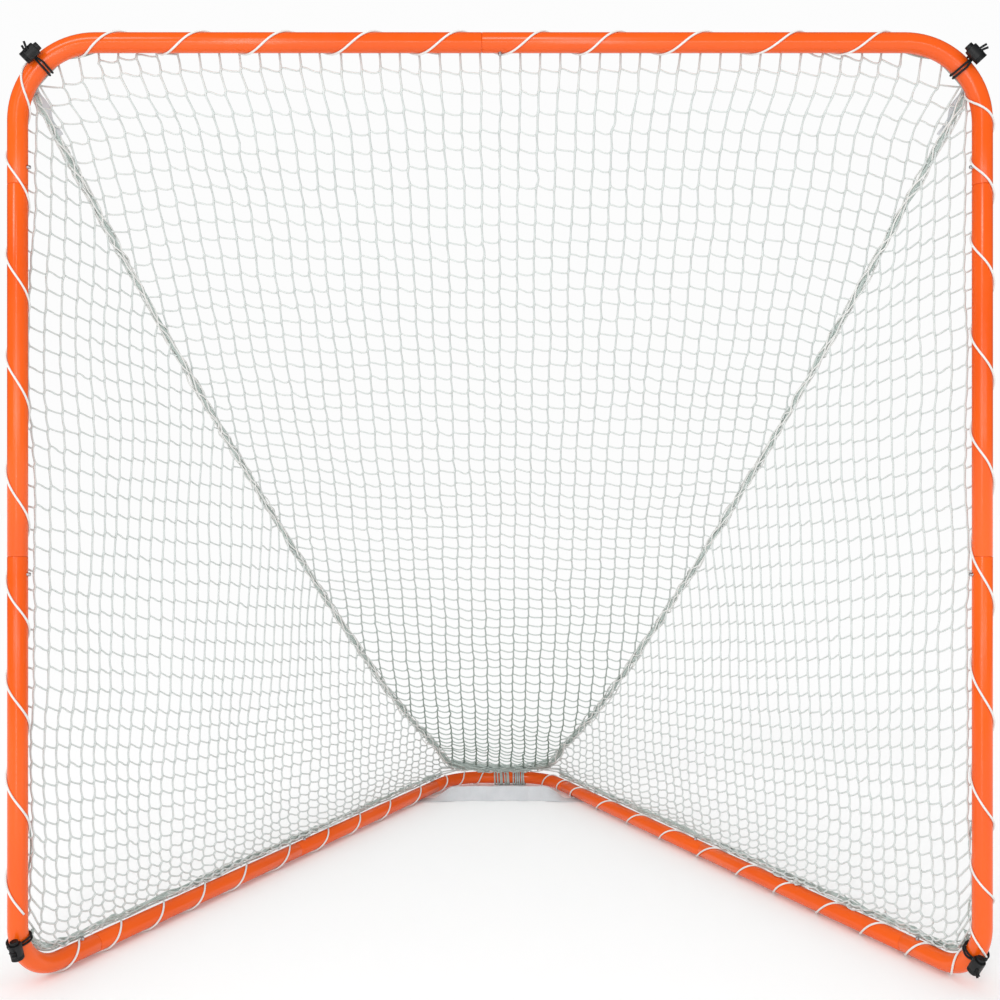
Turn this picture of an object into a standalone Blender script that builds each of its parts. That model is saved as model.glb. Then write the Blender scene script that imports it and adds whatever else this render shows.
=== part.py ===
"""Take-down field goal: a square tube mouth, a V-shaped base, a laced net and its fittings.

Metres, +Z up. The mouth faces -Y and the base runs back to +Y. The origin is at the centre of the
bounding box in X and Y, on the ground. Run with: blender --background --python part.py
"""

import bisect
import math

import bmesh
import bpy
from mathutils import Matrix, Vector

# Frame
MOUTH_WIDTH = 1.829
TUBE_R = 0.01905
TUBE_WALL = 0.0015
CROSSBAR_Z = 1.836
DEPTH = 1.626
FRONT_Y = -0.7948
TUBE_SIDES = 14
SPLAY = math.tau / TUBE_SIDES
TOP_BEND_R = 0.1524
FOOT_BEND_R = 0.1016
REAR_BEND_R = 0.1524
BEND_STEPS = 6

# Push-fit joints: a reduced end slides into the next tube and a snap button locks it
GAP = 0.0003
MALE_R = 0.0172
NECK = 0.060
SHOULDER = 0.004
BUTTON_OFFSET = 0.035
BUTTON_R = 0.00375
BUTTON_HOLE_R = 0.0041
BUTTON_TIP = 0.0257
POST_SEAMS_Z = (1.560, 0.842)
BASE_SEAMS = (0.200, 0.911, 1.662)
BUTTON_FLANGE = (0.0052, 0.0128, 0.0140)
BUTTON_DOME = (0.0022, 0.0242)
BUTTON_SIDES = 10
HOLE_REACH = (0.010, 0.030)
HOLE_SIDES = 12
LEAF_WIDTH = 0.009
LEAF_THICK = 0.0007
LEAF_LINE = (
    (0.009, 0.0121),
    (-0.009, 0.0121),
    (-0.038, 0.0030),
    (-0.043, -0.0010),
    (-0.038, -0.0050),
    (-0.008, -0.0136),
    (0.009, -0.0136),
)

# Lacing, a left-handed helix of cord round each run of tube
CORD_R = 0.0018
CORD_SIDES = 5
STEPS_PER_TURN = 9
LACE_R = (TUBE_R + GAP + CORD_R) / math.cos(math.pi / STEPS_PER_TURN)
CROSSBAR_PITCH = 0.155
CROSSBAR_LACE_HALF = 0.765
CROSSBAR_CROSSING = 0.014
POST_PITCH = 0.190
POST_LACE_TOP = 1.66
POST_LACE_LENGTH = 1.50
POST_CROSSING = 0.114
BASE_PITCH = 0.155
BASE_LACE_START = 0.12
BASE_LACE_LENGTHS = {"left": 1.785, "right": 1.715}
BASE_CROSSING = 1.380
BEND_LACE_STEPS = 12
LASHINGS = (("left", -0.017, 0.036), ("right", 0.044, 0.087))
LASHING_STATIONS = 5

# Net, as plain sheets, and the gathered ropes along its two folds
NET_SHEET = 0.0015
ROPE_R = 0.006
ROPE_SIDES = 6
ROPE_CLEAR = 0.009
ROPE_TOP = (0.037, 1.748)
ROPE_END = (1.534, 0.100)
ROPE_SAG = 0.075
ROPE_STEPS = 14
NET_FRONT = 0.031
NET_INSET = 0.006
NET_CLEAR = 0.001
NET_BEND_STEPS = 5
NET_END_GAP = 0.02
BACK_NET_TOP_ROWS = ((0.0285, 1.812), (0.0295, 1.790), (0.0320, 1.766))
REAR_NET_SHORT = 0.012
REAR_NET_HALF = 0.125

# Webbing
BAND_WIDTH = 0.018
BAND_THICK = 0.001
BAND_OUT = 0.0195
BAND_BACK = 0.0257
BAND_END_Z = 0.120
STRAP_WIDTH = 0.045
STRAP_THICK = 0.0015
STRAP_BACK = 1.422
STRAP_HALF = 0.285
STRAP_TILT = math.radians(72)
STRAP_FLAT_FROM = 0.215
STRAP_TWIST = 0.09
STRAP_STEPS = 22

# Corner cord locks: a spring-loaded plunger in a barrel grips the elastic loop round each bend
LOCK_R = 0.0125
LOCK_HALF = 0.016
LOCK_SIDES = 16
LOCK_EDGE = 0.0015
LOCK_BORE_R = 0.0085
LOCK_FLOOR = 0.0135
LOCK_OUT = 0.038
PLUNGER_R = 0.0081
PLUNGER_TIP_R = 0.0060
PLUNGER_IN = 0.007
PLUNGER_OUT = -0.023
PLUNGER_SIDES = 14
PLUNGER_TRAVEL = 0.004
SPRING_R = 0.0055
SPRING_WIRE_R = 0.0005
SPRING_TURNS = 3
SPRING_STEPS = 7
LOOP_CORD_R = 0.0022
LOOP_CLEAR = 0.0006
LOOP_SPLIT = 0.0026
LOOP_R = 0.0225
LOOP_ARC = (math.radians(40), math.radians(320))
LOOP_STEPS = 10
SLOT_REACH = 0.02
TAIL = 0.011

# Where each lock sits: how far round its bend, and how far it leans off the bend's plane
UPPER_LOCKS = (
    (-1, "left", math.radians(44), math.radians(72)),
    (1, "right", math.radians(47), math.radians(55)),
)
LOWER_LOCKS = (
    (-1, "left", math.radians(16), math.radians(-39)),
    (1, "right", math.radians(32), math.radians(-42)),
)

HALF_WIDTH = MOUTH_WIDTH / 2 + TUBE_R
BASE_Z = LACE_R + CORD_R
REAR_CORNER_X = HALF_WIDTH - DEPTH * math.tan(SPLAY)
UP = Vector((0, 0, 1))
BACK = Vector((0, 1, 0))
RIGHT = Vector((1, 0, 0))
SIDES = ((-1, "left"), (1, "right"))

MATERIALS = {
    "orange_paint": ((0.90, 0.14, 0.01), 0.28, 0.0),
    "spring_steel": ((0.45, 0.45, 0.46), 0.35, 1.0),
    "white_twine": ((0.80, 0.81, 0.80), 0.85, 0.0),
    "white_webbing": ((0.78, 0.79, 0.80), 0.80, 0.0),
    "black_plastic": ((0.02, 0.02, 0.02), 0.45, 0.0),
    "black_cord": ((0.03, 0.03, 0.03), 0.80, 0.0),
}


def clear_scene():
    for obj in list(bpy.data.objects):
        bpy.data.objects.remove(obj, do_unlink=True)


def new_material(node_name, look):
    color, roughness, metallic = MATERIALS[look]
    material = bpy.data.materials.new(node_name)
    material.use_nodes = True
    shader = material.node_tree.nodes["Principled BSDF"]
    shader.inputs["Base Color"].default_value = (*color, 1)
    shader.inputs["Roughness"].default_value = roughness
    shader.inputs["Metallic"].default_value = metallic
    return material


def object_of_rings(name, rings, look, looped=False, smooth=False):
    """Joins rings of points into one closed body: capped at both ends, or joined end to start."""
    mesh = bpy.data.meshes.new(name)
    shape = bmesh.new()
    loops = [[shape.verts.new(point) for point in ring] for ring in rings]
    count = len(loops[0])
    pairs = list(zip(loops, loops[1:]))
    if looped:
        pairs.append((loops[-1], loops[0]))
    else:
        shape.faces.new(loops[0])
        shape.faces.new(reversed(loops[-1]))
    for low, high in pairs:
        for i in range(count):
            j = (i + 1) % count
            shape.faces.new((low[i], high[i], high[j], low[j]))
    bmesh.ops.recalc_face_normals(shape, faces=shape.faces)
    shape.to_mesh(mesh)
    shape.free()
    if smooth:
        mesh.shade_smooth()
        mesh.set_sharp_from_angle(angle=math.radians(50))
    obj = bpy.data.objects.new(name, mesh)
    bpy.context.scene.collection.objects.link(obj)
    if look:
        mesh.materials.append(new_material(name, look))
    return obj


def ring(center, tangent, normal, radius, sides):
    across = (normal - tangent * normal.dot(tangent)).normalized()
    side = tangent.cross(across)
    angles = [math.tau * i / sides for i in range(sides)]
    return [center + radius * (across * math.cos(a) + side * math.sin(a)) for a in angles]


def filleted(corners, radii, steps=BEND_STEPS):
    """A polyline through the corners, with each inner corner rounded to its radius."""
    points = [corners[0]]
    for before, corner, after, radius in zip(corners, corners[1:], corners[2:], radii):
        into = (corner - before).normalized()
        out = (after - corner).normalized()
        turn = into.angle(out)
        start = corner - into * radius * math.tan(turn / 2)
        inward = (out - into * out.dot(into)).normalized()
        center = start + inward * radius
        for i in range(steps + 1):
            a = turn * i / steps
            points.append(center + radius * (into * math.sin(a) - inward * math.cos(a)))
    points.append(corners[-1])
    return points


def tangents(points):
    steps = [(b - a).normalized() for a, b in zip(points, points[1:])]
    middle = [(a + b).normalized() for a, b in zip(steps, steps[1:])]
    return [steps[0], *middle, steps[-1]]


class Route:
    """A planar path that gives its point and direction at any distance along it."""

    def __init__(self, points, normal):
        self.points = points
        self.normal = normal
        self.at = [0.0]
        for a, b in zip(points, points[1:]):
            self.at.append(self.at[-1] + (b - a).length)
        self.along = tangents(points)

    def place(self, distance):
        i = min(max(bisect.bisect_right(self.at, distance) - 1, 0), len(self.points) - 2)
        share = (distance - self.at[i]) / (self.at[i + 1] - self.at[i])
        point = self.points[i].lerp(self.points[i + 1], share)
        return point, self.along[i].lerp(self.along[i + 1], min(max(share, 0), 1)).normalized()


def tube_piece(name, points, facing, male_start=False, male_end=False):
    """A hollow tube along the points. A male end carries on past its point as a thinner neck.

    facing gives, for each direction of the tube, the side that its first facet edge looks to.
    """
    along = tangents(points)
    outer = [(p, t, TUBE_R) for p, t in zip(points, along)]
    bore = [(p, t, TUBE_R - TUBE_WALL) for p, t in zip(points, along)]
    ends = ((male_start, 0, -along[0]), (male_end, len(points) - 1, along[-1]))
    for male, i, out in ends:
        if not male:
            continue
        p = points[i]
        t = along[i]
        neck = [(p - out * GAP, t, MALE_R), (p + out * NECK, t, MALE_R)]
        inner = [(p, t, MALE_R - TUBE_WALL), (p + out * NECK, t, MALE_R - TUBE_WALL)]
        full_end = (p - out * GAP, t, TUBE_R)
        bore_end = (p - out * SHOULDER, t, TUBE_R - TUBE_WALL)
        if i:
            outer = outer[:-1] + [full_end] + neck
            bore = bore[:-1] + [bore_end] + inner
        else:
            outer = neck[::-1] + [full_end] + outer[1:]
            bore = inner[::-1] + [bore_end] + bore[1:]
    rings = [ring(p, t, facing(t), r, TUBE_SIDES) for p, t, r in outer + bore[::-1]]
    return object_of_rings(name, rings, "orange_paint", looped=True, smooth=True)


def swept(name, points, radius, sides, look, normal=UP):
    """A solid cord along the points. Its section is carried along without twisting."""
    along = tangents(points)
    rings = []
    across = normal
    for p, t in zip(points, along):
        across = (across - t * across.dot(t)).normalized()
        rings.append(ring(p, t, across, radius, sides))
    return object_of_rings(name, rings, look, smooth=True)


def helix(route, length, pitch, crossing, toward):
    """Points of a left-handed helix that passes the side facing toward at the crossing distance."""
    count = round(length / pitch * STEPS_PER_TURN)
    _, tangent = route.place(crossing)
    side = tangent.cross(route.normal)
    phase = math.atan2(toward.dot(side), toward.dot(route.normal))
    points = []
    for i in range(count + 1):
        distance = length * i / count
        p, t = route.place(distance)
        a = phase - math.tau * (distance - crossing) / pitch
        points.append(p + LACE_R * (route.normal * math.cos(a) + t.cross(route.normal) * math.sin(a)))
    return points


def base_direction(side):
    return Vector((-side * math.sin(SPLAY), math.cos(SPLAY), 0))


def base_point(side, distance, height=None):
    """A point above the base tube's line, counted from below the post."""
    foot = Vector((side * HALF_WIDTH, FRONT_Y, BASE_Z if height is None else height))
    return foot + base_direction(side) * distance


def top_corner(side):
    return Vector((side * HALF_WIDTH, FRONT_Y, CROSSBAR_Z))


def rear_corner(side):
    return Vector((side * REAR_CORNER_X, FRONT_Y + DEPTH, BASE_Z))


def faces_back(_):
    return BACK


def faces_up(_):
    return UP


def make_tubes():
    for side, word in SIDES:
        start = Vector((-BUTTON_OFFSET, FRONT_Y, CROSSBAR_Z))
        post_top = Vector((side * HALF_WIDTH, FRONT_Y, POST_SEAMS_Z[0]))
        post_foot = Vector((side * HALF_WIDTH, FRONT_Y, POST_SEAMS_Z[1]))
        sideways = base_direction(side).cross(UP)
        top = filleted([start, top_corner(side), post_top], [TOP_BEND_R])
        low = filleted([post_foot, base_point(side, 0), base_point(side, BASE_SEAMS[0])], [FOOT_BEND_R])
        front = [base_point(side, s) for s in BASE_SEAMS[:2]]
        rear = [base_point(side, s) for s in BASE_SEAMS[1:]]
        tube_piece(f"upper_{word}_corner_tube", top, faces_back, male_start=side < 0)
        tube_piece(f"{word}_post_tube", [post_top, post_foot], faces_back, True, True)
        tube_piece(f"lower_{word}_corner_tube", low, sideways.cross)
        tube_piece(f"{word}_base_front_tube", front, faces_up, True, True)
        tube_piece(f"{word}_base_rear_tube", rear, faces_up)
    tube_piece("rear_corner_tube", rear_path(), faces_up, True, True)


def snap_joints():
    """Each locked joint: its name, seam, direction into the female tube, button side and two tubes."""
    joints = [
        (
            "crossbar",
            Vector((-BUTTON_OFFSET, FRONT_Y, CROSSBAR_Z)),
            RIGHT,
            -UP,
            ("upper_left_corner_tube", "upper_right_corner_tube"),
        )
    ]
    for side, word in SIDES:
        inner = RIGHT * -side
        post = f"{word}_post_tube"
        front = f"{word}_base_front_tube"
        back = base_direction(side)
        high, low = (Vector((side * HALF_WIDTH, FRONT_Y, z)) for z in POST_SEAMS_Z)
        joints += [
            (f"{word}_post_upper", high, UP, inner, (post, f"upper_{word}_corner_tube")),
            (f"{word}_post_lower", low, -UP, inner, (post, f"lower_{word}_corner_tube")),
            (
                f"{word}_base_front",
                base_point(side, BASE_SEAMS[0]),
                -back,
                UP,
                (front, f"lower_{word}_corner_tube"),
            ),
            (
                f"{word}_base_middle",
                base_point(side, BASE_SEAMS[1]),
                back,
                UP,
                (front, f"{word}_base_rear_tube"),
            ),
        ]
    return joints


def placed(obj, place, along, out):
    """Moves an object built with X along the tube and Z out of the button hole."""
    turn = Matrix((along, out.cross(along), out)).transposed()
    obj.location = place
    obj.rotation_euler = turn.to_euler()
    return obj


def turned(name, profile, sides, look, axis="Z"):
    """A turned solid from (radius, height) pairs, capped at both ends."""
    tangent = {"Z": UP, "X": RIGHT}[axis]
    normal = RIGHT if axis == "Z" else UP
    rings = [ring(tangent * z, tangent, normal, r, sides) for r, z in profile]
    return object_of_rings(name, rings, look, smooth=True)


def cutter(name, obj):
    obj.name = name
    obj.hide_render = True
    obj.display_type = "WIRE"
    return obj


def cut(target, tool):
    modifier = target.modifiers.new("cut", "BOOLEAN")
    modifier.operation = "DIFFERENCE"
    modifier.solver = "EXACT"
    modifier.object = tool


def make_snap_buttons():
    flange_r, flange_low, flange_high = BUTTON_FLANGE
    dome_r, dome_low = BUTTON_DOME
    button = (
        (flange_r, flange_low),
        (flange_r, flange_high),
        (BUTTON_R, flange_high),
        (BUTTON_R, dome_low),
        (dome_r, BUTTON_TIP),
    )
    hole = [(BUTTON_HOLE_R, z) for z in HOLE_REACH]
    leaf = [Vector((x, 0, z)) for x, z in LEAF_LINE]
    for name, seam, into, out, tubes in snap_joints():
        place = seam + into * BUTTON_OFFSET
        placed(turned(f"{name}_button", button, BUTTON_SIDES, "spring_steel"), place, into, out)
        tool = cutter(f"{name}_hole_cutter", turned(f"{name}_hole_cutter", hole, HOLE_SIDES, None))
        placed(tool, place, into, out)
        for tube in tubes:
            cut(bpy.data.objects[tube], tool)
        spring = flat_strip(f"{name}_leaf_spring", leaf, BACK, LEAF_WIDTH, LEAF_THICK, "spring_steel")
        placed(spring, place, into, out)


def flat_strip(name, points, width_axis, width, thickness, look):
    """A strip of constant width along the points, bent about the width axis."""
    rings = []
    for p, t in zip(points, tangents(points)):
        face = t.cross(width_axis).normalized() * (thickness / 2)
        edge = width_axis * (width / 2)
        rings.append([p + edge + face, p - edge + face, p - edge - face, p + edge - face])
    return object_of_rings(name, rings, look)


def make_lacing():
    ends = [Vector((x, FRONT_Y, CROSSBAR_Z)) for x in (-CROSSBAR_LACE_HALF, CROSSBAR_LACE_HALF)]
    crossbar = Route(ends, BACK)
    crossing = CROSSBAR_LACE_HALF + CROSSBAR_CROSSING
    lace = helix(crossbar, 2 * CROSSBAR_LACE_HALF, CROSSBAR_PITCH, crossing, -UP)
    swept("crossbar_lacing", lace, CORD_R, CORD_SIDES, "white_twine")
    for side, word in SIDES:
        top = Vector((side * HALF_WIDTH, FRONT_Y, POST_LACE_TOP))
        post = Route([top, top - UP * POST_LACE_LENGTH], BACK)
        lace = helix(post, POST_LACE_LENGTH, POST_PITCH, POST_CROSSING, RIGHT * -side)
        swept(f"{word}_post_lacing", lace, CORD_R, CORD_SIDES, "white_twine")
        bar_middle = Vector((0, FRONT_Y + DEPTH, BASE_Z))
        corners = [base_point(side, BASE_LACE_START), rear_corner(side), bar_middle]
        base = Route(filleted(corners, [REAR_BEND_R], BEND_LACE_STEPS), UP)
        lace = helix(base, BASE_LACE_LENGTHS[word], BASE_PITCH, BASE_CROSSING, -UP)
        swept(f"{word}_base_lacing", lace, CORD_R, CORD_SIDES, "white_twine")


def rear_path():
    ends = [base_point(side, BASE_SEAMS[2]) for side in (-1, 1)]
    corners = [ends[0], rear_corner(-1), rear_corner(1), ends[1]]
    return filleted(corners, [REAR_BEND_R, REAR_BEND_R])


def make_rear_lashings():
    """Two close windings of cord that tie the net to the rear bar, as sleeves round it."""
    inner = TUBE_R + 2 * GAP
    outer = inner + 2 * CORD_R
    bar = Route(rear_path(), UP)
    middle = bar.at[-1] / 2
    for word, low, high in LASHINGS:
        stations = [low + (high - low) * i / (LASHING_STATIONS - 1) for i in range(LASHING_STATIONS)]
        places = [bar.place(middle + x) for x in stations]
        rings = [ring(p, t, UP, outer, TUBE_SIDES) for p, t in places]
        rings += [ring(p, t, UP, inner, TUBE_SIDES) for p, t in places[::-1]]
        object_of_rings(f"{word}_rear_lashing", rings, "white_twine", looped=True, smooth=True)


def rope_height(back):
    share = (back - ROPE_TOP[0]) / (ROPE_END[0] - ROPE_TOP[0])
    straight = ROPE_TOP[1] + (ROPE_END[1] - ROPE_TOP[1]) * share
    return straight - 4 * ROPE_SAG * share * (1 - share)


def rope_stations():
    count = ROPE_STEPS - 1
    return [ROPE_TOP[0] + (ROPE_END[0] - ROPE_TOP[0]) * i / count for i in range(ROPE_STEPS)]


def rope_point(side, back):
    return base_point(side, back / math.cos(SPLAY), rope_height(back))


def make_seam_ropes():
    for side, word in SIDES:
        points = [rope_point(side, back) for back in rope_stations()]
        swept(f"{word}_seam_rope", points, ROPE_R, ROPE_SIDES, "white_twine")


def make_side_nets():
    """Flat triangles over the base tubes: down the post, round the foot bend, back and up the rope."""
    reach = FOOT_BEND_R - LACE_R - CORD_R - NET_CLEAR
    center = (FOOT_BEND_R, BASE_Z + FOOT_BEND_R)
    floor = BASE_Z + LACE_R + CORD_R + NET_SHEET
    outline = [(NET_FRONT, ROPE_TOP[1] - 2 * ROPE_CLEAR)]
    for i in range(1, NET_BEND_STEPS):
        a = math.pi / 2 * i / NET_BEND_STEPS
        across = max(NET_FRONT, center[0] - reach * math.cos(a))
        outline.append((across, center[1] - reach * math.sin(a)))
    outline += [(center[0], floor), (ROPE_END[0] / math.cos(SPLAY) - NET_END_GAP, floor)]
    for back in rope_stations()[:0:-1]:
        distance = back / math.cos(SPLAY)
        outline.append((distance - ROPE_CLEAR * 0.7, rope_height(back) - ROPE_CLEAR * 0.8))
    for side, word in SIDES:
        half = base_direction(side).cross(UP) * (NET_SHEET / 2)
        rings = []
        for shift in (-half, half):
            rings.append([base_point(side, s, z) + shift for s, z in outline])
        object_of_rings(f"{word}_side_net", rings, "white_twine")


def bend_edge(z):
    """Half the width across the tube's centreline at a height within the upper bends."""
    rise = z - (CROSSBAR_Z - TOP_BEND_R)
    return HALF_WIDTH - TOP_BEND_R + math.sqrt(TOP_BEND_R**2 - rise**2)


def make_back_net():
    rows = [(back, z, bend_edge(z) - NET_INSET) for back, z in BACK_NET_TOP_ROWS]
    for back in rope_stations()[1:]:
        edge = abs(rope_point(1, back).x) - ROPE_CLEAR
        rows.append((back, rope_height(back), edge))
    rows.append((DEPTH - REAR_NET_SHORT, BASE_Z + LACE_R + CORD_R + 2 * NET_SHEET, REAR_NET_HALF))
    middle = [Vector((0, FRONT_Y + back, z)) for back, z, _ in rows]
    rings = []
    for p, t, (_, _, edge) in zip(middle, tangents(middle), rows):
        face = t.cross(RIGHT).normalized() * (NET_SHEET / 2)
        wide = RIGHT * edge
        rings.append([p - wide - face, p + wide - face, p + wide + face, p - wide + face])
    object_of_rings("back_net", rings, "white_twine")


def make_border_band():
    """The webbing sewn along the net's edge, behind the posts and the crossbar."""
    out = HALF_WIDTH + BAND_OUT
    y = FRONT_Y + BAND_BACK
    high = CROSSBAR_Z + BAND_OUT
    corners = [(-out, BAND_END_Z), (-out, high), (out, high), (out, BAND_END_Z)]
    radius = TOP_BEND_R + BAND_OUT
    points = filleted([Vector((x, y, z)) for x, z in corners], [radius, radius])
    rings = []
    for p, t in zip(points, tangents(points)):
        edge = t.cross(BACK).normalized() * (BAND_WIDTH / 2)
        face = BACK * (BAND_THICK / 2)
        rings.append([p + edge + face, p - edge + face, p - edge - face, p + edge - face])
    object_of_rings("net_border_webbing", rings, "white_webbing")


def make_rear_strap():
    """Webbing that lies flat under both base tubes and stands on edge between them."""
    rings = []
    for i in range(STRAP_STEPS + 1):
        x = STRAP_HALF * (2 * i / STRAP_STEPS - 1)
        share = min(max((STRAP_FLAT_FROM - abs(x)) / STRAP_TWIST, 0), 1)
        tilt = STRAP_TILT * share * share * (3 - 2 * share)
        wide = Vector((0, math.cos(tilt), math.sin(tilt))) * (STRAP_WIDTH / 2)
        thick = Vector((0, -math.sin(tilt), math.cos(tilt))) * (STRAP_THICK / 2)
        p = Vector((x, FRONT_Y + STRAP_BACK, wide.z + thick.z))
        rings.append([p - wide - thick, p + wide - thick, p + wide + thick, p - wide + thick])
    object_of_rings("rear_strap", rings, "white_webbing")


def lock_places():
    """Each corner: its name, a point on the bend, the tube's direction there, and the lock's side."""
    places = []
    for side, word, a, lean in UPPER_LOCKS:
        center = top_corner(side) - (RIGHT * side + UP) * TOP_BEND_R
        outward = RIGHT * side * math.sin(a) + UP * math.cos(a)
        toward = outward * math.cos(lean) - BACK * math.sin(lean)
        along = RIGHT * side * math.cos(a) - UP * math.sin(a)
        places.append((f"upper_{word}", center + outward * TOP_BEND_R, along, toward))
    for side, word, a, lean in LOWER_LOCKS:
        back = base_direction(side)
        center = base_point(side, FOOT_BEND_R) + UP * FOOT_BEND_R
        outward = -back * math.cos(a) - UP * math.sin(a)
        sideways = Vector((side * math.cos(SPLAY), math.sin(SPLAY), 0))
        toward = outward * math.cos(lean) + sideways * math.sin(lean)
        along = back * math.sin(a) - UP * math.cos(a)
        places.append((f"lower_{word}", center + outward * FOOT_BEND_R, along, toward))
    return places


def box_cutter(name, low, high):
    corners = ((low[0], low[1]), (high[0], low[1]), (high[0], high[1]), (low[0], high[1]))
    tool = object_of_rings(
        name,
        [[Vector((x, y, z)) for x, y in corners] for z in (low[2], high[2])],
        None,
    )
    return cutter(name, tool)


def make_cord_locks():
    """Local X runs along the barrel, and Z from the tube out through the cord hole."""
    barrel = (
        (LOCK_R - LOCK_EDGE, LOCK_HALF),
        (LOCK_R, LOCK_HALF - LOCK_EDGE),
        (LOCK_R, LOCK_EDGE - LOCK_HALF),
        (LOCK_R - LOCK_EDGE, -LOCK_HALF),
        (LOCK_BORE_R, -LOCK_HALF),
        (LOCK_BORE_R, LOCK_FLOOR),
    )
    plunger = ((PLUNGER_R, PLUNGER_IN), (PLUNGER_R, PLUNGER_OUT + LOCK_EDGE), (PLUNGER_TIP_R, PLUNGER_OUT))
    half = LOOP_SPLIT + LOOP_CORD_R + LOOP_CLEAR
    width = LOOP_CORD_R + LOOP_CLEAR
    high = (half, width, SLOT_REACH)
    for name, place, along, toward in lock_places():
        spot = place + toward * LOCK_OUT
        body = turned(f"{name}_lock_barrel", barrel, LOCK_SIDES, "black_plastic", "X")
        pin = turned(f"{name}_lock_plunger", plunger, PLUNGER_SIDES, "black_plastic", "X")
        for piece, word, low in ((body, "slot", -half), (pin, "plunger", -half - PLUNGER_TRAVEL)):
            placed(piece, spot, along, toward)
            tool = box_cutter(f"{name}_{word}_cutter", (low, -width, -SLOT_REACH), high)
            cut(piece, placed(tool, spot, along, toward))
        placed(lock_spring(f"{name}_lock_spring"), spot, along, toward)
        loop = swept(f"{name}_cord_loop", loop_points(), LOOP_CORD_R, 6, "black_cord", RIGHT)
        placed(loop, place, along, toward)


def lock_spring(name):
    low = PLUNGER_IN + GAP + SPRING_WIRE_R
    high = LOCK_FLOOR - GAP - SPRING_WIRE_R
    count = SPRING_TURNS * SPRING_STEPS
    points = []
    for i in range(count + 1):
        a = math.tau * i / SPRING_STEPS
        x = low + (high - low) * i / count
        points.append(Vector((x, SPRING_R * math.cos(a), SPRING_R * math.sin(a))))
    return swept(name, points, SPRING_WIRE_R, 4, "spring_steel", RIGHT)


def loop_points():
    """Tail, through the lock, round the tube and back out beside itself."""
    end = LOCK_OUT + LOCK_R + TAIL
    mouth = LOCK_OUT - LOCK_R
    points = [Vector((-LOOP_SPLIT, 0, end)), Vector((-LOOP_SPLIT, 0, mouth))]
    first, last = LOOP_ARC
    for i in range(LOOP_STEPS + 1):
        share = i / LOOP_STEPS
        a = first + (last - first) * share
        x = LOOP_SPLIT * (2 * share - 1)
        points.append(Vector((x, LOOP_R * math.sin(a), LOOP_R * math.cos(a))))
    points += [Vector((LOOP_SPLIT, 0, mouth)), Vector((LOOP_SPLIT, 0, end))]
    return points


def main():
    clear_scene()
    make_tubes()
    make_snap_buttons()
    make_lacing()
    make_rear_lashings()
    make_seam_ropes()
    make_side_nets()
    make_back_net()
    make_border_band()
    make_rear_strap()
    make_cord_locks()


main()
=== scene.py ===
"""Looks for the take-down field goal: powder-coated tubes, twine netting, lacing and fittings.

Metres, +Z up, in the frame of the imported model. The mouth faces -Y. The lengths below repeat the
CAD source's driving dimensions; the front plane's place comes from the frame.
"""

import math

import bpy
import numpy as np
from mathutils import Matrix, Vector


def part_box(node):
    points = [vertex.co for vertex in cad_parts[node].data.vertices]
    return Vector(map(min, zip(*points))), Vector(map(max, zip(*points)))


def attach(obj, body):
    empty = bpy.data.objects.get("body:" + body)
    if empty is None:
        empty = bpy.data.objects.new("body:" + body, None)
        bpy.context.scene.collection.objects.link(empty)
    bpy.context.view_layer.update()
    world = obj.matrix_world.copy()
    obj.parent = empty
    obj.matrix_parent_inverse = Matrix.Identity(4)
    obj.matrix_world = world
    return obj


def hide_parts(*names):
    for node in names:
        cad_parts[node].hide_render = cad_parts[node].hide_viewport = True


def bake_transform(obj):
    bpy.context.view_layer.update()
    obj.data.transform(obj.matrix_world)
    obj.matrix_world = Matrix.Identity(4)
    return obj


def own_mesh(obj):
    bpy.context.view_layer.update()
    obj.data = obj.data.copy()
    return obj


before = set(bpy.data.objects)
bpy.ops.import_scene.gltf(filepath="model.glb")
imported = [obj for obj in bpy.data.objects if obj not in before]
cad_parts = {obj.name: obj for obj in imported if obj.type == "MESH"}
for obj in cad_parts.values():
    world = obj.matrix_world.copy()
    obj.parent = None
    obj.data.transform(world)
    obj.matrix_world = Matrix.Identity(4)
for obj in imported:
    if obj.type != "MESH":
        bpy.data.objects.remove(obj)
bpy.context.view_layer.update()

# Tube frame, as in the CAD
TUBE_R = 0.01905
TUBE_WALL = 0.0015
HALF_WIDTH = 1.829 / 2 + TUBE_R
CROSSBAR_Z = 1.836
DEPTH = 1.626
SPLAY = math.tau / 14
TOP_BEND_R = 0.1524
FOOT_BEND_R = 0.1016
REAR_BEND_R = 0.1524
GAP = 0.0003
MALE_R = 0.0172
NECK = 0.060
BUTTON_OFFSET = 0.035
BUTTON_HOLE_R = 0.0041
LEAF_WIDTH = 0.009
LEAF_THICK = 0.0007
POST_SEAMS_Z = (1.560, 0.842)
BASE_SEAMS = (0.200, 0.911, 1.662)
CORD_R = 0.0018
BASE_Z = (TUBE_R + GAP + CORD_R) / math.cos(math.pi / 9) + CORD_R
LOW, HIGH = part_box("right_post_tube")
FRONT_Y = (LOW.y + HIGH.y) / 2

# Net
ROPE_TOP = (0.037, 1.748)
ROPE_END = (1.534, 0.100)
ROPE_SAG = 0.075
ROPE_LIFT = 0.034
NET_BEND_R = TOP_BEND_R - 0.004
NET_FOOT_R = FOOT_BEND_R - TUBE_R - 0.0038
CELL = 0.0387
TWINE_R = 0.0021
KNOT_R = 0.0027
KNOT_LONG = 0.0072

UP = np.array((0.0, 0.0, 1.0))
BACK = np.array((0.0, 1.0, 0.0))
RIGHT = np.array((1.0, 0.0, 0.0))
SIDES = ((-1, "left"), (1, "right"))
BODY = "frame"


# ---- materials


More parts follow.
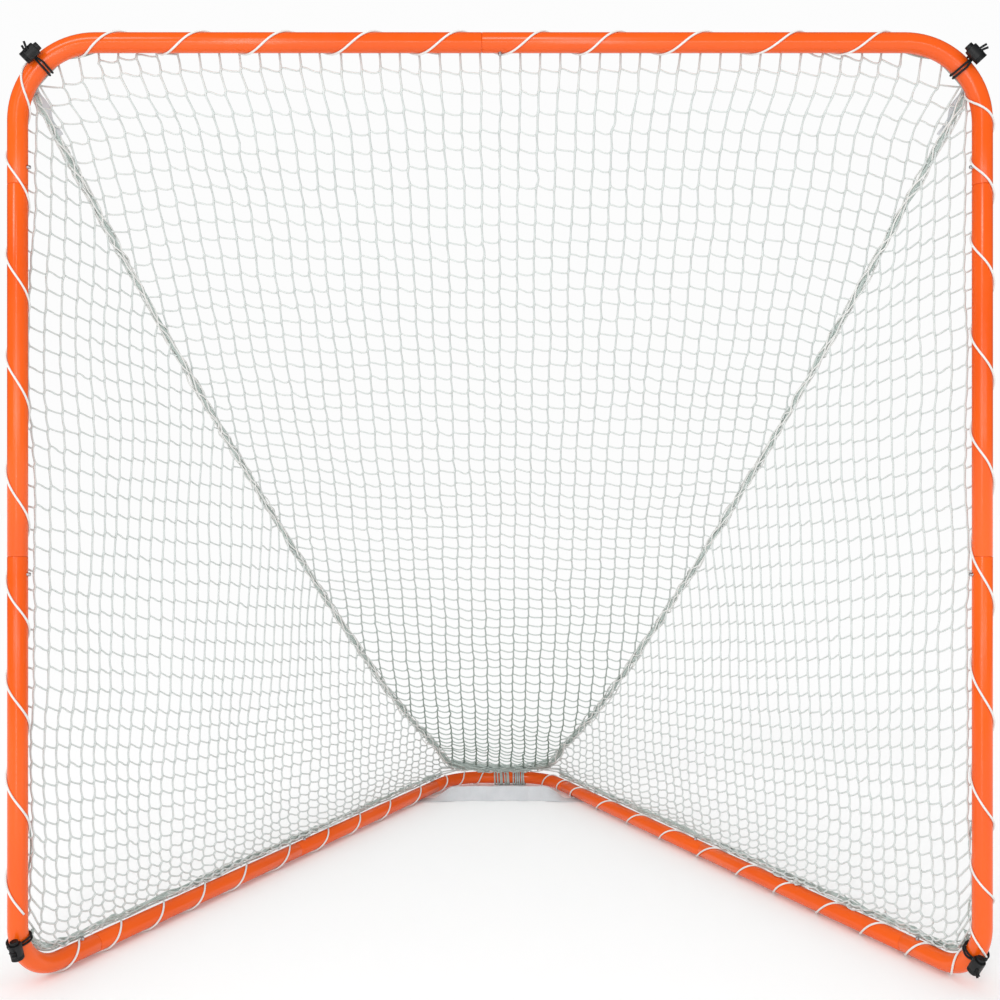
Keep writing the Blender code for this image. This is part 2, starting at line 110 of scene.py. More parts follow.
def new_material(name, color, roughness, metallic=0.0, **inputs):
    """A plain material. inputs are further sockets, with _ for the spaces in their names."""
    material = bpy.data.materials.new(name)
    material.use_nodes = True
    shader = material.node_tree.nodes["Principled BSDF"]
    shader.inputs["Base Color"].default_value = (*color, 1)
    shader.inputs["Roughness"].default_value = roughness
    shader.inputs["Metallic"].default_value = metallic
    for key, value in inputs.items():
        shader.inputs[key.replace("_", " ")].default_value = value
    return material


class Nodes:
    """Short calls for building one material's node tree."""

    def __init__(self, material):
        self.tree = material.node_tree
        self.shader = self.tree.nodes["Principled BSDF"]

    def add(self, kind, **values):
        node = self.tree.nodes.new(kind)
        for key, value in values.items():
            if key in node.inputs:
                node.inputs[key].default_value = value
            else:
                setattr(node, key, value)
        return node

    def link(self, source, target):
        self.tree.links.new(source, target)
        return target.node

    def math(self, operation, first, second=None):
        node = self.add("ShaderNodeMath", operation=operation)
        for socket, value in zip(node.inputs, (first, second)):
            if hasattr(value, "node"):
                self.link(value, socket)
            elif value is not None:
                socket.default_value = value
        return node.outputs[0]

    def noise(self, scale, detail=3.0):
        place = self.add("ShaderNodeTexCoord")
        noise = self.add("ShaderNodeTexNoise", Scale=scale, Detail=detail)
        self.link(place.outputs["Object"], noise.inputs["Vector"])
        return noise.outputs["Fac"]

    def cord_uv(self):
        """u, round or across the piece from 0 to 1, and v, along it in metres."""
        uv = self.add("ShaderNodeUVMap", uv_map="Cord")
        parts = self.add("ShaderNodeSeparateXYZ")
        self.link(uv.outputs["UV"], parts.inputs["Vector"])
        return parts.outputs["X"], parts.outputs["Y"]

    def ramp(self, value, stops):
        ramp = self.add("ShaderNodeValToRGB")
        elements = ramp.color_ramp.elements
        for element, (place, color) in zip(elements, (stops[0], stops[-1])):
            element.position = place
            element.color = (*color, 1)
        for place, color in stops[1:-1]:
            elements.new(place).color = (*color, 1)
        self.link(value, ramp.inputs["Fac"])
        return ramp.outputs["Color"]

    def painted_shade_low(self, source, tint, low, high):
        """Painted shade: multiplies the colour by a darker tint low down, which fades out between two
        heights.
        """
        place = self.add("ShaderNodeTexCoord")
        parts = self.add("ShaderNodeSeparateXYZ")
        self.link(place.outputs["Object"], parts.inputs["Vector"])
        share = self.add("ShaderNodeMapRange")
        share.inputs["From Min"].default_value = low
        share.inputs["From Max"].default_value = high
        self.link(parts.outputs["Z"], share.inputs["Value"])
        shade = self.ramp(share.outputs["Result"], ((0.0, tint), (1.0, (1, 1, 1))))
        mix = self.add("ShaderNodeMix", data_type="RGBA", blend_type="MULTIPLY")
        mix.inputs["Factor"].default_value = 1
        colors = [socket for socket in mix.inputs if socket.type == "RGBA"]
        self.tree.links.new(source, colors[0])
        self.tree.links.new(shade, colors[1])
        return [socket for socket in mix.outputs if socket.type == "RGBA"][0]

    def gray(self, value, low, high):
        node = self.add("ShaderNodeMapRange")
        node.inputs["To Min"].default_value = low
        node.inputs["To Max"].default_value = high
        self.link(value, node.inputs["Value"])
        return node.outputs["Result"]

    def bump(self, height, strength, distance):
        node = self.add("ShaderNodeBump", Strength=strength, Distance=distance)
        self.link(height, node.inputs["Height"])
        self.link(node.outputs["Normal"], self.shader.inputs["Normal"])

    def color(self, source):
        self.link(source, self.shader.inputs["Base Color"])

    def roughness(self, source):
        self.link(source, self.shader.inputs["Roughness"])


def powder_coat():
    """Glossy orange powder coat: faint orange peel, slow tone changes and a few duller patches."""
    orange = (0.81, 0.100, 0.004)
    material = new_material("orange_powder_coat", orange, 0.22, Specular_IOR_Level=0.45)
    n = Nodes(material)
    tones = ((0.3, (0.77, 0.088, 0.003)), (0.5, orange), (0.7, (0.85, 0.114, 0.006)))
    n.color(n.ramp(n.noise(3.0, 2.0), tones))
    n.roughness(n.gray(n.noise(40.0, 4.0), 0.14, 0.28))
    n.bump(n.noise(700.0, 2.0), 0.12, 0.0002)
    return material


def cord_material(name, light, dark, turns, lays, low_shade_tint=None):
    """Braided cord, with turns strands round it and lays plaits per metre. The low tint, if given, is painted
    shade that darkens its foot.
    """
    material = new_material(name, light, 0.85)
    n = Nodes(material)
    u, v = n.cord_uv()
    around = n.math("MULTIPLY", u, math.tau * turns)
    along = n.math("MULTIPLY", v, math.tau * lays)
    left = n.math("SINE", n.math("ADD", around, along))
    right = n.math("SINE", n.math("SUBTRACT", around, along))
    plait = n.math("MAXIMUM", left, right)
    worn = n.math("ADD", n.gray(plait, 0.35, 0.75), n.gray(n.noise(60.0), -0.25, 0.25))
    color = n.ramp(worn, ((0.15, dark), (0.85, light)))
    # Painted shade: the cord darkens towards its foot, fully below 0.10 m and fading out by 0.85 m.
    if low_shade_tint:
        color = n.painted_shade_low(color, low_shade_tint, 0.10, 0.85)
    n.color(color)
    n.bump(plait, 0.5, 0.0004)
    return material


def webbing_material():
    """White woven webbing: ribs across it and fine yarns along it."""
    light = (0.70, 0.71, 0.73)
    material = new_material("white_webbing", light, 0.8, Sheen_Weight=0.2)
    n = Nodes(material)
    u, v = n.cord_uv()
    across = n.math("SINE", n.math("MULTIPLY", u, math.tau * 14))
    along = n.math("SINE", n.math("MULTIPLY", v, math.tau * 420))
    weave = n.math("MULTIPLY", across, along)
    worn = n.math("ADD", n.gray(weave, 0.3, 0.7), n.gray(n.noise(25.0), -0.35, 0.35))
    n.color(n.ramp(worn, ((0.1, (0.52, 0.54, 0.56)), (0.9, light))))
    n.bump(weave, 0.45, 0.0004)
    return material


def plastic_material():
    material = new_material("black_plastic", (0.006, 0.0065, 0.007), 0.42, Specular_IOR_Level=0.4)
    n = Nodes(material)
    n.color(n.ramp(n.noise(35.0), ((0.3, (0.004, 0.0045, 0.005)), (0.7, (0.009, 0.010, 0.011)))))
    n.roughness(n.gray(n.noise(120.0), 0.34, 0.55))
    n.bump(n.noise(2200.0, 2.0), 0.25, 0.0002)
    return material


def steel_material():
    material = new_material("spring_steel", (0.52, 0.52, 0.53), 0.3, metallic=1.0)
    n = Nodes(material)
    n.color(n.ramp(n.noise(150.0), ((0.3, (0.40, 0.40, 0.41)), (0.7, (0.62, 0.62, 0.64)))))
    n.roughness(n.gray(n.noise(500.0), 0.22, 0.45))
    n.bump(n.noise(1500.0), 0.2, 0.0001)
    return material


def make_materials():
    """All materials by short name."""
    made = {
        "paint": powder_coat(),
        "lace": cord_material("white_cord", (0.86, 0.85, 0.83), (0.58, 0.60, 0.58), 3, 260),
        "webbing": webbing_material(),
        "plastic": plastic_material(),
        "black_cord": cord_material("black_cord", (0.012, 0.013, 0.014), (0.004, 0.004, 0.005), 4, 330),
        "steel": steel_material(),
    }
    # rear_twine and cross_twine carry painted shade low down; shaded_twine is a darker copy of the twine,
    # painted shade for cords in shadow.
    for key, name, light, dark, low_shade_tint in (
        ("twine", "white_netting", (0.73, 0.76, 0.75), (0.50, 0.54, 0.52), None),
        ("rear_twine", "rear_netting_shaded_low", (0.72, 0.75, 0.74), (0.48, 0.53, 0.51), (0.34, 0.42, 0.37)),
        ("cross_twine", "cross_netting_shaded_low", (0.74, 0.77, 0.76), (0.52, 0.56, 0.54), (0.72, 0.78, 0.75)),
        ("shaded_twine", "painted_shade_netting", (0.60, 0.66, 0.63), (0.30, 0.37, 0.34), None),
    ):
        made[key] = cord_material(name, light, dark, 2, 300, low_shade_tint)
    return made


# ---- mesh helpers


def unit(vectors):
    return vectors / np.maximum(np.linalg.norm(vectors, axis=-1, keepdims=True), 1e-12)


def tangents(paths):
    return unit(np.gradient(paths, axis=-2))


def lengths(path):
    return np.concatenate(([0.0], np.cumsum(np.linalg.norm(np.diff(path, axis=0), axis=1))))


def sample(path, distances):
    """Points and unit tangents of a polyline at distances along it."""
    at = lengths(path)
    step = 0.002
    points, ahead, behind = (
        np.stack([np.interp(distances + shift, at, path[:, k]) for k in range(3)], axis=1)
        for shift in (0, step, -step)
    )
    return points, unit(ahead - behind)


def curve_through(points, count):
    """A smooth Catmull-Rom curve through the points, with count points on each stretch."""
    p = np.asarray(points, float)
    p = np.vstack((2 * p[0] - p[1], p, 2 * p[-1] - p[-2]))
    u = np.linspace(0, 1, count, endpoint=False)[:, None]
    out = []
    for a, b, c, d in zip(p, p[1:], p[2:], p[3:]):
        out.append(
            0.5 * (2 * b + (c - a) * u + (2 * a - 5 * b + 4 * c - d) * u**2 + (3 * b - a - 3 * c + d) * u**3)
        )
    return np.vstack((*out, p[-2]))


def transported(path, start):
    """A normal for each point, carried along the path without twisting."""
    along = tangents(path)
    normal = np.asarray(start, float)
    found = []
    for t in along:
        normal = unit(normal - t * (normal @ t))
        found.append(normal)
    return np.array(found)


def ring_faces(rings, sides, closed=False):
    """Quads from each ring of points to the next. A closed row also joins its last ring to its first."""
    i, j = np.meshgrid(np.arange(rings if closed else rings - 1), np.arange(sides), indexing="ij")
    k = (j + 1) % sides
    after = (i + 1) % rings
    return np.stack((i * sides + j, i * sides + k, after * sides + k, after * sides + j), -1)


def ring_uvs(start, end, far):
    """UVs of ring_faces: u from start to end on each side, and v the distance of each ring."""
    u = np.stack((start, end, end, start), -1)
    v = np.stack((far[..., :-1], far[..., :-1], far[..., 1:], far[..., 1:]), -1)[..., None, :]
    return np.stack(np.broadcast_arrays(u, v), -1).reshape(-1, 2)


def add_object(name, points, faces, material, uvs=None, sharp=None):
    """A smooth-shaded mesh object. Edges steeper than sharp degrees stay sharp."""
    mesh = bpy.data.meshes.new(name)
    mesh.from_pydata(points, [], faces)
    mesh.update()
    if uvs is not None:
        mesh.uv_layers.new(name="Cord").data.foreach_set("uv", np.asarray(uvs, np.float32).ravel())
    mesh.shade_smooth()
    if sharp:
        mesh.set_sharp_from_angle(angle=math.radians(sharp))
    obj = bpy.data.objects.new(name, mesh)
    bpy.context.scene.collection.objects.link(obj)
    if material:
        mesh.materials.append(material)
    return obj


class Strands:
    """Collects round cords and makes one mesh of them."""

    def __init__(self, sides=6):
        self.sides = sides
        self.points = []
        self.faces = []
        self.uvs = []
        self.used = 0

    def add(self, paths, radii, refs):
        """paths is (count, points, 3), or one path of (points, 3). refs is a direction off each cord."""
        paths = np.asarray(paths, float)
        if paths.ndim == 2:
            paths = paths[None]
        count, steps, _ = paths.shape
        radii = np.broadcast_to(np.asarray(radii, float), (count, steps))
        along = tangents(paths)
        refs = np.broadcast_to(np.asarray(refs, float), paths.shape)
        normal = unit(refs - along * (refs * along).sum(-1, keepdims=True))
        side = np.cross(along, normal)
        angles = math.tau * np.arange(self.sides) / self.sides
        ring = normal[:, :, None] * np.cos(angles)[:, None] + side[:, :, None] * np.sin(angles)[:, None]
        points = paths[:, :, None] + ring * radii[:, :, None, None]
        far = np.cumsum(np.linalg.norm(np.diff(paths, axis=1), axis=2), axis=1)
        self.join(points, np.pad(far, ((0, 0), (1, 0))))

    def join(self, points, far):
        count, steps, sides, _ = points.shape
        first = self.used + np.arange(count) * steps * sides
        faces = first[:, None, None, None] + ring_faces(steps, sides)
        low = np.array([(0, sides - h, sides - h - 1, sides - h - 2) for h in range(1, sides - 2, 2)])
        high = (steps - 1) * sides + low[:, ::-1]
        caps = first[:, None, None] + np.concatenate((low, high))
        around = np.arange(sides)
        self.points.append(points.reshape(-1, 3))
        self.faces += [faces.reshape(-1, 4), caps.reshape(-1, 4)]
        self.uvs += [ring_uvs(around / sides, (around + 1) / sides, far), np.zeros((caps.size, 2))]
        self.used += count * steps * sides

    def build(self, name, material):
        return add_object(
            name,
            np.concatenate(self.points).tolist(),
            np.concatenate(self.faces).tolist(),
            material,
            np.concatenate(self.uvs),
        )


def turned(name, profile, material, place, axis, sides=48, squareness=0.0, sharp=40):
    """A closed solid of (radius, height) pairs about an axis. squareness pushes its section to a square."""
    axis = unit(np.asarray(axis, float))
    ref = UP if abs(axis[2]) < 0.9 else RIGHT
    normal = unit(ref - axis * (ref @ axis))
    side = np.cross(axis, normal)
    a = math.tau * np.arange(sides) / sides
    swell = 1 + squareness * (1 - np.cos(4 * a)) / 2
    ring = (normal * np.cos(a)[:, None] + side * np.sin(a)[:, None]) * swell[:, None]
    points = np.concatenate([np.asarray(place) + axis * h + ring * r for r, h in profile])
    caps = [tuple(range(sides))[::-1], tuple((len(profile) - 1) * sides + i for i in range(sides))]
    faces = caps + ring_faces(len(profile), sides).reshape(-1, 4).tolist()
    return add_object(name, points.tolist(), faces, material, sharp=sharp)


def dome(radius, low, high, rise, steps=6):
    """A profile: straight wall from low, then an elliptical dome of that rise up to high."""
    profile = [(radius, low)]
    for i in range(steps + 1):
        a = math.pi / 2 * i / steps
        profile.append((max(radius * math.cos(a), radius * 0.02), high - rise + rise * math.sin(a)))
    return profile


def apply_cuts(target, tools):
    """Cuts the tools out of the target and keeps the result as its mesh."""
    for tool in tools:
        modifier = target.modifiers.new("cut", "BOOLEAN")
        modifier.operation = "DIFFERENCE"
        modifier.solver = "EXACT"
        modifier.object = tool
    graph = bpy.context.evaluated_depsgraph_get()
    mesh = bpy.data.meshes.new_from_object(target.evaluated_get(graph))
    target.modifiers.clear()
    target.data = mesh
    mesh.set_sharp_from_angle(angle=math.radians(35))


def settle(obj, slot, *nodes, body=BODY):
    """The piece rides on a body and stands for these CAD nodes. slot is not used."""
    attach(obj, body)
    if nodes:
        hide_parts(*nodes)
    return obj


def add_cord(name, path, radius, refs, material, slot, *nodes, sides=8):
    """One cord along a path, riding on the goal's frame."""
    cord = Strands(sides)
    cord.add(path, radius, refs)
    return settle(cord.build(name, material), slot, *nodes)


def ripple(rng, shape, size, passes):
    """Random numbers over a grid, blurred so that neighbours move together, of that mean size."""
    field = rng.standard_normal(shape)
    for _ in range(passes):
        padded = np.pad(field, 1, mode="edge")
        field = (padded[:-2, 1:-1] + padded[2:, 1:-1] + padded[1:-1, :-2] + padded[1:-1, 2:] + field) / 5
    return field * size / max(field.std(), 1e-9)


def smoothstep(value, low, high):
    share = np.clip((value - low) / (high - low), 0, 1)
    return share * share * (3 - 2 * share)


# ---- frame geometry


def base_direction(side):
    return np.array((-side * math.sin(SPLAY), math.cos(SPLAY), 0.0))


def outward(side):
    return np.array((side * math.cos(SPLAY), math.sin(SPLAY), 0.0))


def side_point(side, along, out, height):
    """A point of the side panel: along the base from below the post, out from its plane, and up."""
    along, out, height = np.broadcast_arrays(*(np.asarray(v, float) for v in (along, out, height)))
    foot = np.array((side * HALF_WIDTH, FRONT_Y, 0.0))
    flat = foot + along[..., None] * base_direction(side) + out[..., None] * outward(side)
    return flat + height[..., None] * UP


def rope_height(back):
    share = (back - ROPE_TOP[0]) / (ROPE_END[0] - ROPE_TOP[0])
    straight = ROPE_TOP[1] + (ROPE_END[1] - ROPE_TOP[1]) * share
    pouch = ROPE_LIFT * np.clip((back - 1.22) / (ROPE_END[0] - 1.22), 0, 1) ** 1.5
    return straight - 4 * ROPE_SAG * share * (1 - share) + pouch


def filleted(corners, radii, steps=22):
    """A polyline through the corners, with each inner corner rounded to its radius."""
    corners = [Vector(c) for c in corners]
    points = [corners[0]]
    for before, corner, after, radius in zip(corners, corners[1:], corners[2:], radii):
        into = (corner - before).normalized()
        out = (after - corner).normalized()
        turn = into.angle(out)
        start = corner - into * radius * math.tan(turn / 2)
        inward = (out - into * out.dot(into)).normalized()
        center = start + inward * radius
        for i in range(steps + 1):
            a = turn * i / steps
            points.append(center + radius * (into * math.sin(a) - inward * math.cos(a)))
    points.append(corners[-1])
    return np.array([tuple(p) for p in points])


def top_corner(side):
    return np.array((side * HALF_WIDTH, FRONT_Y, CROSSBAR_Z))


def rear_corner(side):
    return np.array((side * (HALF_WIDTH - DEPTH * math.tan(SPLAY)), FRONT_Y + DEPTH, BASE_Z))


def base_line(side, distance):
    return side_point(side, distance, 0, BASE_Z)


def crossbar_path():
    ends = [side_point(s, 0, 0, CROSSBAR_Z - TOP_BEND_R - 0.02) for s, _ in SIDES]
    return filleted([ends[0], top_corner(-1), top_corner(1), ends[1]], [TOP_BEND_R, TOP_BEND_R])


def rear_path():
    ends = [base_line(side, BASE_SEAMS[2]) for side in (-1, 1)]
    return filleted([ends[0], rear_corner(-1), rear_corner(1), ends[1]], [REAR_BEND_R, REAR_BEND_R])


# ---- tubes


def tube(name, path, material, male_start=False, male_end=False, sides=44):
    """A hollow tube with rolled ends. A male end carries on past its point as a thinner neck."""
    path = np.asarray(path)
    along = tangents(path)
    rings = [(p, t, TUBE_R) for p, t in zip(path, along)]
    bore_r = TUBE_R - TUBE_WALL
    bore = [(p, t, bore_r) for p, t in zip(path, along)]
    lip = 0.0014
    for male, i, out in ((male_start, 0, -along[0]), (male_end, -1, along[-1])):
        p, t = path[i], along[i]
        rounded = [(p - out * lip, t, TUBE_R), (p - out * lip * 0.3, t, TUBE_R - lip * 0.3)]
        inner = [(p, t, bore_r)]
        if male:
            reach = p + out * NECK
            rounded += [(p - out * GAP, t, TUBE_R - lip), (p - out * GAP, t, MALE_R)]
            rounded += [(reach - out * 0.001, t, MALE_R), (reach, t, MALE_R - 0.0008)]
            inner = [(p - out * 0.004, t, bore_r), (p, t, MALE_R - TUBE_WALL), (reach, t, MALE_R - TUBE_WALL)]
        else:
            rounded.append((p, t, TUBE_R - lip))
        if i:
            rings = rings[:-1] + rounded
            bore = bore[:-1] + inner
        else:
            rings = rounded[::-1] + rings[1:]
            bore = inner[::-1] + bore[1:]
    rings += bore[::-1]
    centers, dirs, radii = (np.array(values) for values in zip(*rings))
    ref = np.cross(along[0], along[len(along) // 2])
    ref = UP if np.linalg.norm(ref) < 1e-6 and abs(along[0][2]) < 0.9 else ref
    ref = BACK if np.linalg.norm(ref) < 1e-6 else unit(ref)
    normal = unit(ref - dirs * (dirs @ ref)[:, None])
    side = np.cross(dirs, normal)
    a = math.tau * np.arange(sides) / sides
    spread = normal[:, None] * np.cos(a)[:, None] + side[:, None] * np.sin(a)[:, None]
    points = (centers[:, None] + spread * radii[:, None, None]).reshape(-1, 3)
    faces = ring_faces(len(rings), sides, closed=True).reshape(-1, 4)
    return add_object(name, points.tolist(), faces.tolist(), material, sharp=35)


def snap_joints():
    """Each locked joint: its name, seam, direction into the female tube, button side and two tubes."""
    bar = np.array((-BUTTON_OFFSET, FRONT_Y, CROSSBAR_Z))
    joints = [("crossbar", bar, RIGHT, -UP, ("upper_left_corner_tube", "upper_right_corner_tube"))]
    for side, word in SIDES:
        post, front = f"{word}_post_tube", f"{word}_base_front_tube"
        head, foot, rear = f"upper_{word}_corner_tube", f"lower_{word}_corner_tube", f"{word}_base_rear_tube"
        back = base_direction(side)
        inner = -side * RIGHT
        high, low = (side_point(side, 0, 0, z) for z in POST_SEAMS_Z)
        near, middle = (base_line(side, s) for s in BASE_SEAMS[:2])
        joints += [
            (f"{word}_post_upper", high, UP, inner, (post, head)),
            (f"{word}_post_lower", low, -UP, inner, (post, foot)),
            (f"{word}_base_front", near, -back, UP, (front, foot)),
            (f"{word}_base_middle", middle, back, UP, (front, rear)),
        ]
    return joints


def make_tubes(paint):
    """One smooth tube for each CAD tube, with the real button holes cut through it."""
    made = {}
    for side, word in SIDES:
        start = np.array((-BUTTON_OFFSET, FRONT_Y, CROSSBAR_Z))
        high, low = (side_point(side, 0, 0, z) for z in POST_SEAMS_Z)
        top = filleted([start, top_corner(side), high], [TOP_BEND_R])
        foot = filleted([low, base_line(side, 0), base_line(side, BASE_SEAMS[0])], [FOOT_BEND_R])
        front = np.array([base_line(side, s) for s in np.linspace(*BASE_SEAMS[:2], 4)])
        rear = np.array([base_line(side, s) for s in np.linspace(*BASE_SEAMS[1:], 4)])
        post = np.linspace(high, low, 4)
        made[f"upper_{word}_corner_tube"] = (top, side < 0, False)
        made[f"{word}_post_tube"] = (post, True, True)
        made[f"lower_{word}_corner_tube"] = (foot, False, False)
        made[f"{word}_base_front_tube"] = (front, True, True)
        made[f"{word}_base_rear_tube"] = (rear, False, False)
    made["rear_corner_tube"] = (rear_path(), True, True)
    holes = {name: [] for name in made}
    tools = []
    for name, seam, into, out, tubes in snap_joints():
        place = seam + into * BUTTON_OFFSET
        profile = ((BUTTON_HOLE_R, 0.010), (BUTTON_HOLE_R, 0.030))
        tool = turned(f"{name}_hole_tool", profile, None, place, out, sides=32)
        tools.append(tool)
        for t in tubes:
            holes[t].append(tool)
    for name, (path, start, end) in made.items():
        obj = tube(f"{name}_coated", path, paint, start, end)
        if holes[name]:
            apply_cuts(obj, holes[name])
        settle(obj, "orange_powder_coat", name)
    for tool in tools:
        bpy.data.objects.remove(tool)


LEAF_LINE = (
    (0.009, 0.0121),
    (-0.009, 0.0121),
    (-0.038, 0.0030),
    (-0.043, -0.0010),
    (-0.038, -0.0050),
    (-0.008, -0.0136),
    (0.009, -0.0136),
)
LEAF_RADII = (0.010, 0.003, 0.003, 0.003, 0.010)


def make_buttons(steel):
    """Turned snap buttons with a domed tip, each on a V-shaped leaf spring."""
    for name, seam, into, out, _ in snap_joints():
        place = seam + into * BUTTON_OFFSET
        profile = [(0.0050, 0.0128), (0.0052, 0.0130), (0.0052, 0.0138), (0.0050, 0.0140)]
        profile += dome(0.00375, 0.0140, 0.0257, 0.0022)
        button = turned(f"{name}_button_domed", profile, steel, place, out, sides=36)
        settle(button, "spring_steel", f"{name}_button", body=f"{name}_button")
        flat = filleted([(x, 0, z) for x, z in LEAF_LINE], LEAF_RADII, steps=6)
        path = place + flat[:, :1] * into + flat[:, 2:] * out
        wide = np.broadcast_to(np.cross(out, into), path.shape)
        widths = np.full(len(path), LEAF_WIDTH)
        leaf = ribbon(f"{name}_leaf", path, widths, wide, LEAF_THICK, steel, across=2)
        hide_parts(f"{name}_leaf_spring")
        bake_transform(leaf)


# ---- lacing


LACE_OFF = TUBE_R + GAP + CORD_R
CROSSBAR_LACE = (-0.768, -0.607, -0.445, -0.276, -0.109, 0.055, 0.198, 0.361, 0.544, 0.711)
POST_LACE = {
    -1: (1.755, 1.581, 1.389, 1.191, 0.965, 0.756, 0.572, 0.379, 0.183),
    1: (1.700, 1.570, 1.407, 1.217, 1.028, 0.790, 0.561, 0.353, 0.200, 0.088),
}
POST_LACE_END = {-1: 0.03, 1: 0.05}
BASE_LACE_START = {-1: 0.085, 1: 0.010}
BASE_LACE_END = {-1: 1.905, 1: 1.835}
LACE_STEP = 0.0035
LACE_CORD_R = 0.0021
LASHING_R = 0.0024
BASE_LACE = {
    -1: (0.135, 0.252, 0.382, 0.520, 0.670, 0.850, 1.030, 1.190, 1.355, 1.540, 1.720, 1.800, 1.870),
    1: (0.050, 0.157, 0.286, 0.423, 0.578, 0.719, 0.883, 1.064, 1.235, 1.407, 1.585, 1.677, 1.765),
}


def wound(path, stations, start, end, facing):
    """A left-handed winding that shows on the facing side at each station along the path."""
    distances = np.arange(start, end, LACE_STEP)
    count = len(stations)
    before = 2 * stations[0] - stations[1]
    after = 2 * stations[-1] - stations[-2]
    knots = np.concatenate(([before], stations, [after]))
    turns = np.interp(distances, knots, np.arange(-1, count + 1))
    blur = np.ones(7) / 7
    turns = np.convolve(np.pad(turns, 3, mode="reflect", reflect_type="odd"), blur, mode="valid")
    points, along = sample(path, distances)
    normal = unit(facing - along * (along * facing).sum(1, keepdims=True))
    side = np.cross(along, normal)
    angle = -math.tau * turns[:, None]
    radial = normal * np.cos(angle) + side * np.sin(angle)
    return points + radial * LACE_OFF, radial


def make_lacing(lace):
    """The white cord wound round the crossbar, the posts and the base, at listed stations."""
    bar = crossbar_path()
    stations = lengths(bar)[-1] / 2 + np.array(CROSSBAR_LACE)
    path, radial = wound(bar, stations, stations[0] - 0.08, stations[-1] + 0.09, -BACK)
    add_cord("crossbar_cord", path, LACE_CORD_R, radial, lace, "white_cord", "crossbar_lacing")
    eye = np.array((0, FRONT_Y - CAMERA_BACK, CAMERA_Z))
    for side, word in SIDES:
        top = side_point(side, 0, 0, CROSSBAR_Z) - RIGHT * side * 0.30
        ends = (top, top_corner(side), base_line(side, 0), base_line(side, 0.3))
        post = filleted(ends, [TOP_BEND_R, FOOT_BEND_R])
        straight = 0.30 - TOP_BEND_R + TOP_BEND_R * math.pi / 2
        stations = straight + CROSSBAR_Z - TOP_BEND_R - np.array(POST_LACE[side])
        path, radial = wound(post, stations, stations[0] - 0.075, stations[-1] + POST_LACE_END[side], -BACK)
        add_cord(f"{word}_post_cord", path, LACE_CORD_R, radial, lace, "white_cord", f"{word}_post_lacing")
        bar_middle = np.array((0, FRONT_Y + DEPTH, BASE_Z))
        corners = (side_point(side, 0, 0, 0.4), base_line(side, 0), rear_corner(side), bar_middle)
        base = filleted(corners, [FOOT_BEND_R, REAR_BEND_R])
        foot = 0.4 - BASE_Z - FOOT_BEND_R + FOOT_BEND_R * (math.pi / 2 - 1)
        start, end = (foot + place[side] for place in (BASE_LACE_START, BASE_LACE_END))
        points, _ = sample(base, np.arange(start, end, LACE_STEP))
        path, radial = wound(base, foot + np.array(BASE_LACE[side]), start, end, unit(eye - points))
        add_cord(f"{word}_base_cord", path, LACE_CORD_R, radial, lace, "white_cord", f"{word}_base_lacing")


def make_lashings(materials, rng):
    """Two close windings on the rear bar. Their turns hang a little loose under it."""
    bar = rear_path()
    middle = lengths(bar)[-1] / 2
    for word, low, high, turns in (("left", -0.017, 0.036, 7), ("right", 0.044, 0.087, 6)):
        share = np.linspace(0, 1, turns * 22)
        wander = np.interp(share, np.linspace(0, 1, turns * 2), rng.normal(0, 0.0020, turns * 2))
        points, along = sample(bar, middle + low + (high - low) * share + wander)
        side = np.cross(along, UP)
        a = math.tau * turns * share
        radial = UP * np.cos(a)[:, None] + side * np.sin(a)[:, None]
        slack = 0.0006 * (1 - np.cos(a)) * (1 + np.sin(7 * share)) * np.maximum(np.sin(a) ** 2, 0.15)
        path = points + radial * (TUBE_R + LASHING_R + slack)[:, None]
        # Painted shade: the windings take the darker shaded twine, for their shadow under the rear bar.
        twine = materials["shaded_twine"]
        add_cord(f"{word}_rear_winding", path, LASHING_R, radial, twine, "white_cord", f"{word}_rear_lashing")


# ---- netting


def knot_ends(centers, down, across, long, skew):
    """The upper and lower end of each knot. Skew pulls them towards the twine tied to each."""
    half = down * (long / 2)[..., None]
    pull = across * skew[..., None]
    return centers - half + pull, centers + half - pull


def bowed(start, end, bulge, steps):
    """Paths from start to end, each bowed by its bulge."""
    u = np.linspace(0, 1, steps)[:, None]
    return start[:, None] * (1 - u) + end[:, None] * u + 4 * u * (1 - u) * bulge[:, None]


def slack_bulge(start, end, rest, least):
    """How far a twine of that length bows out between two points."""
    chord = np.linalg.norm(end - start, axis=-1)
    spare = np.clip(rest / np.maximum(chord, 1e-4) - 1, 0, 3)
    return np.maximum(np.minimum(chord * np.sqrt(0.375 * spare), 0.38 * rest), least)


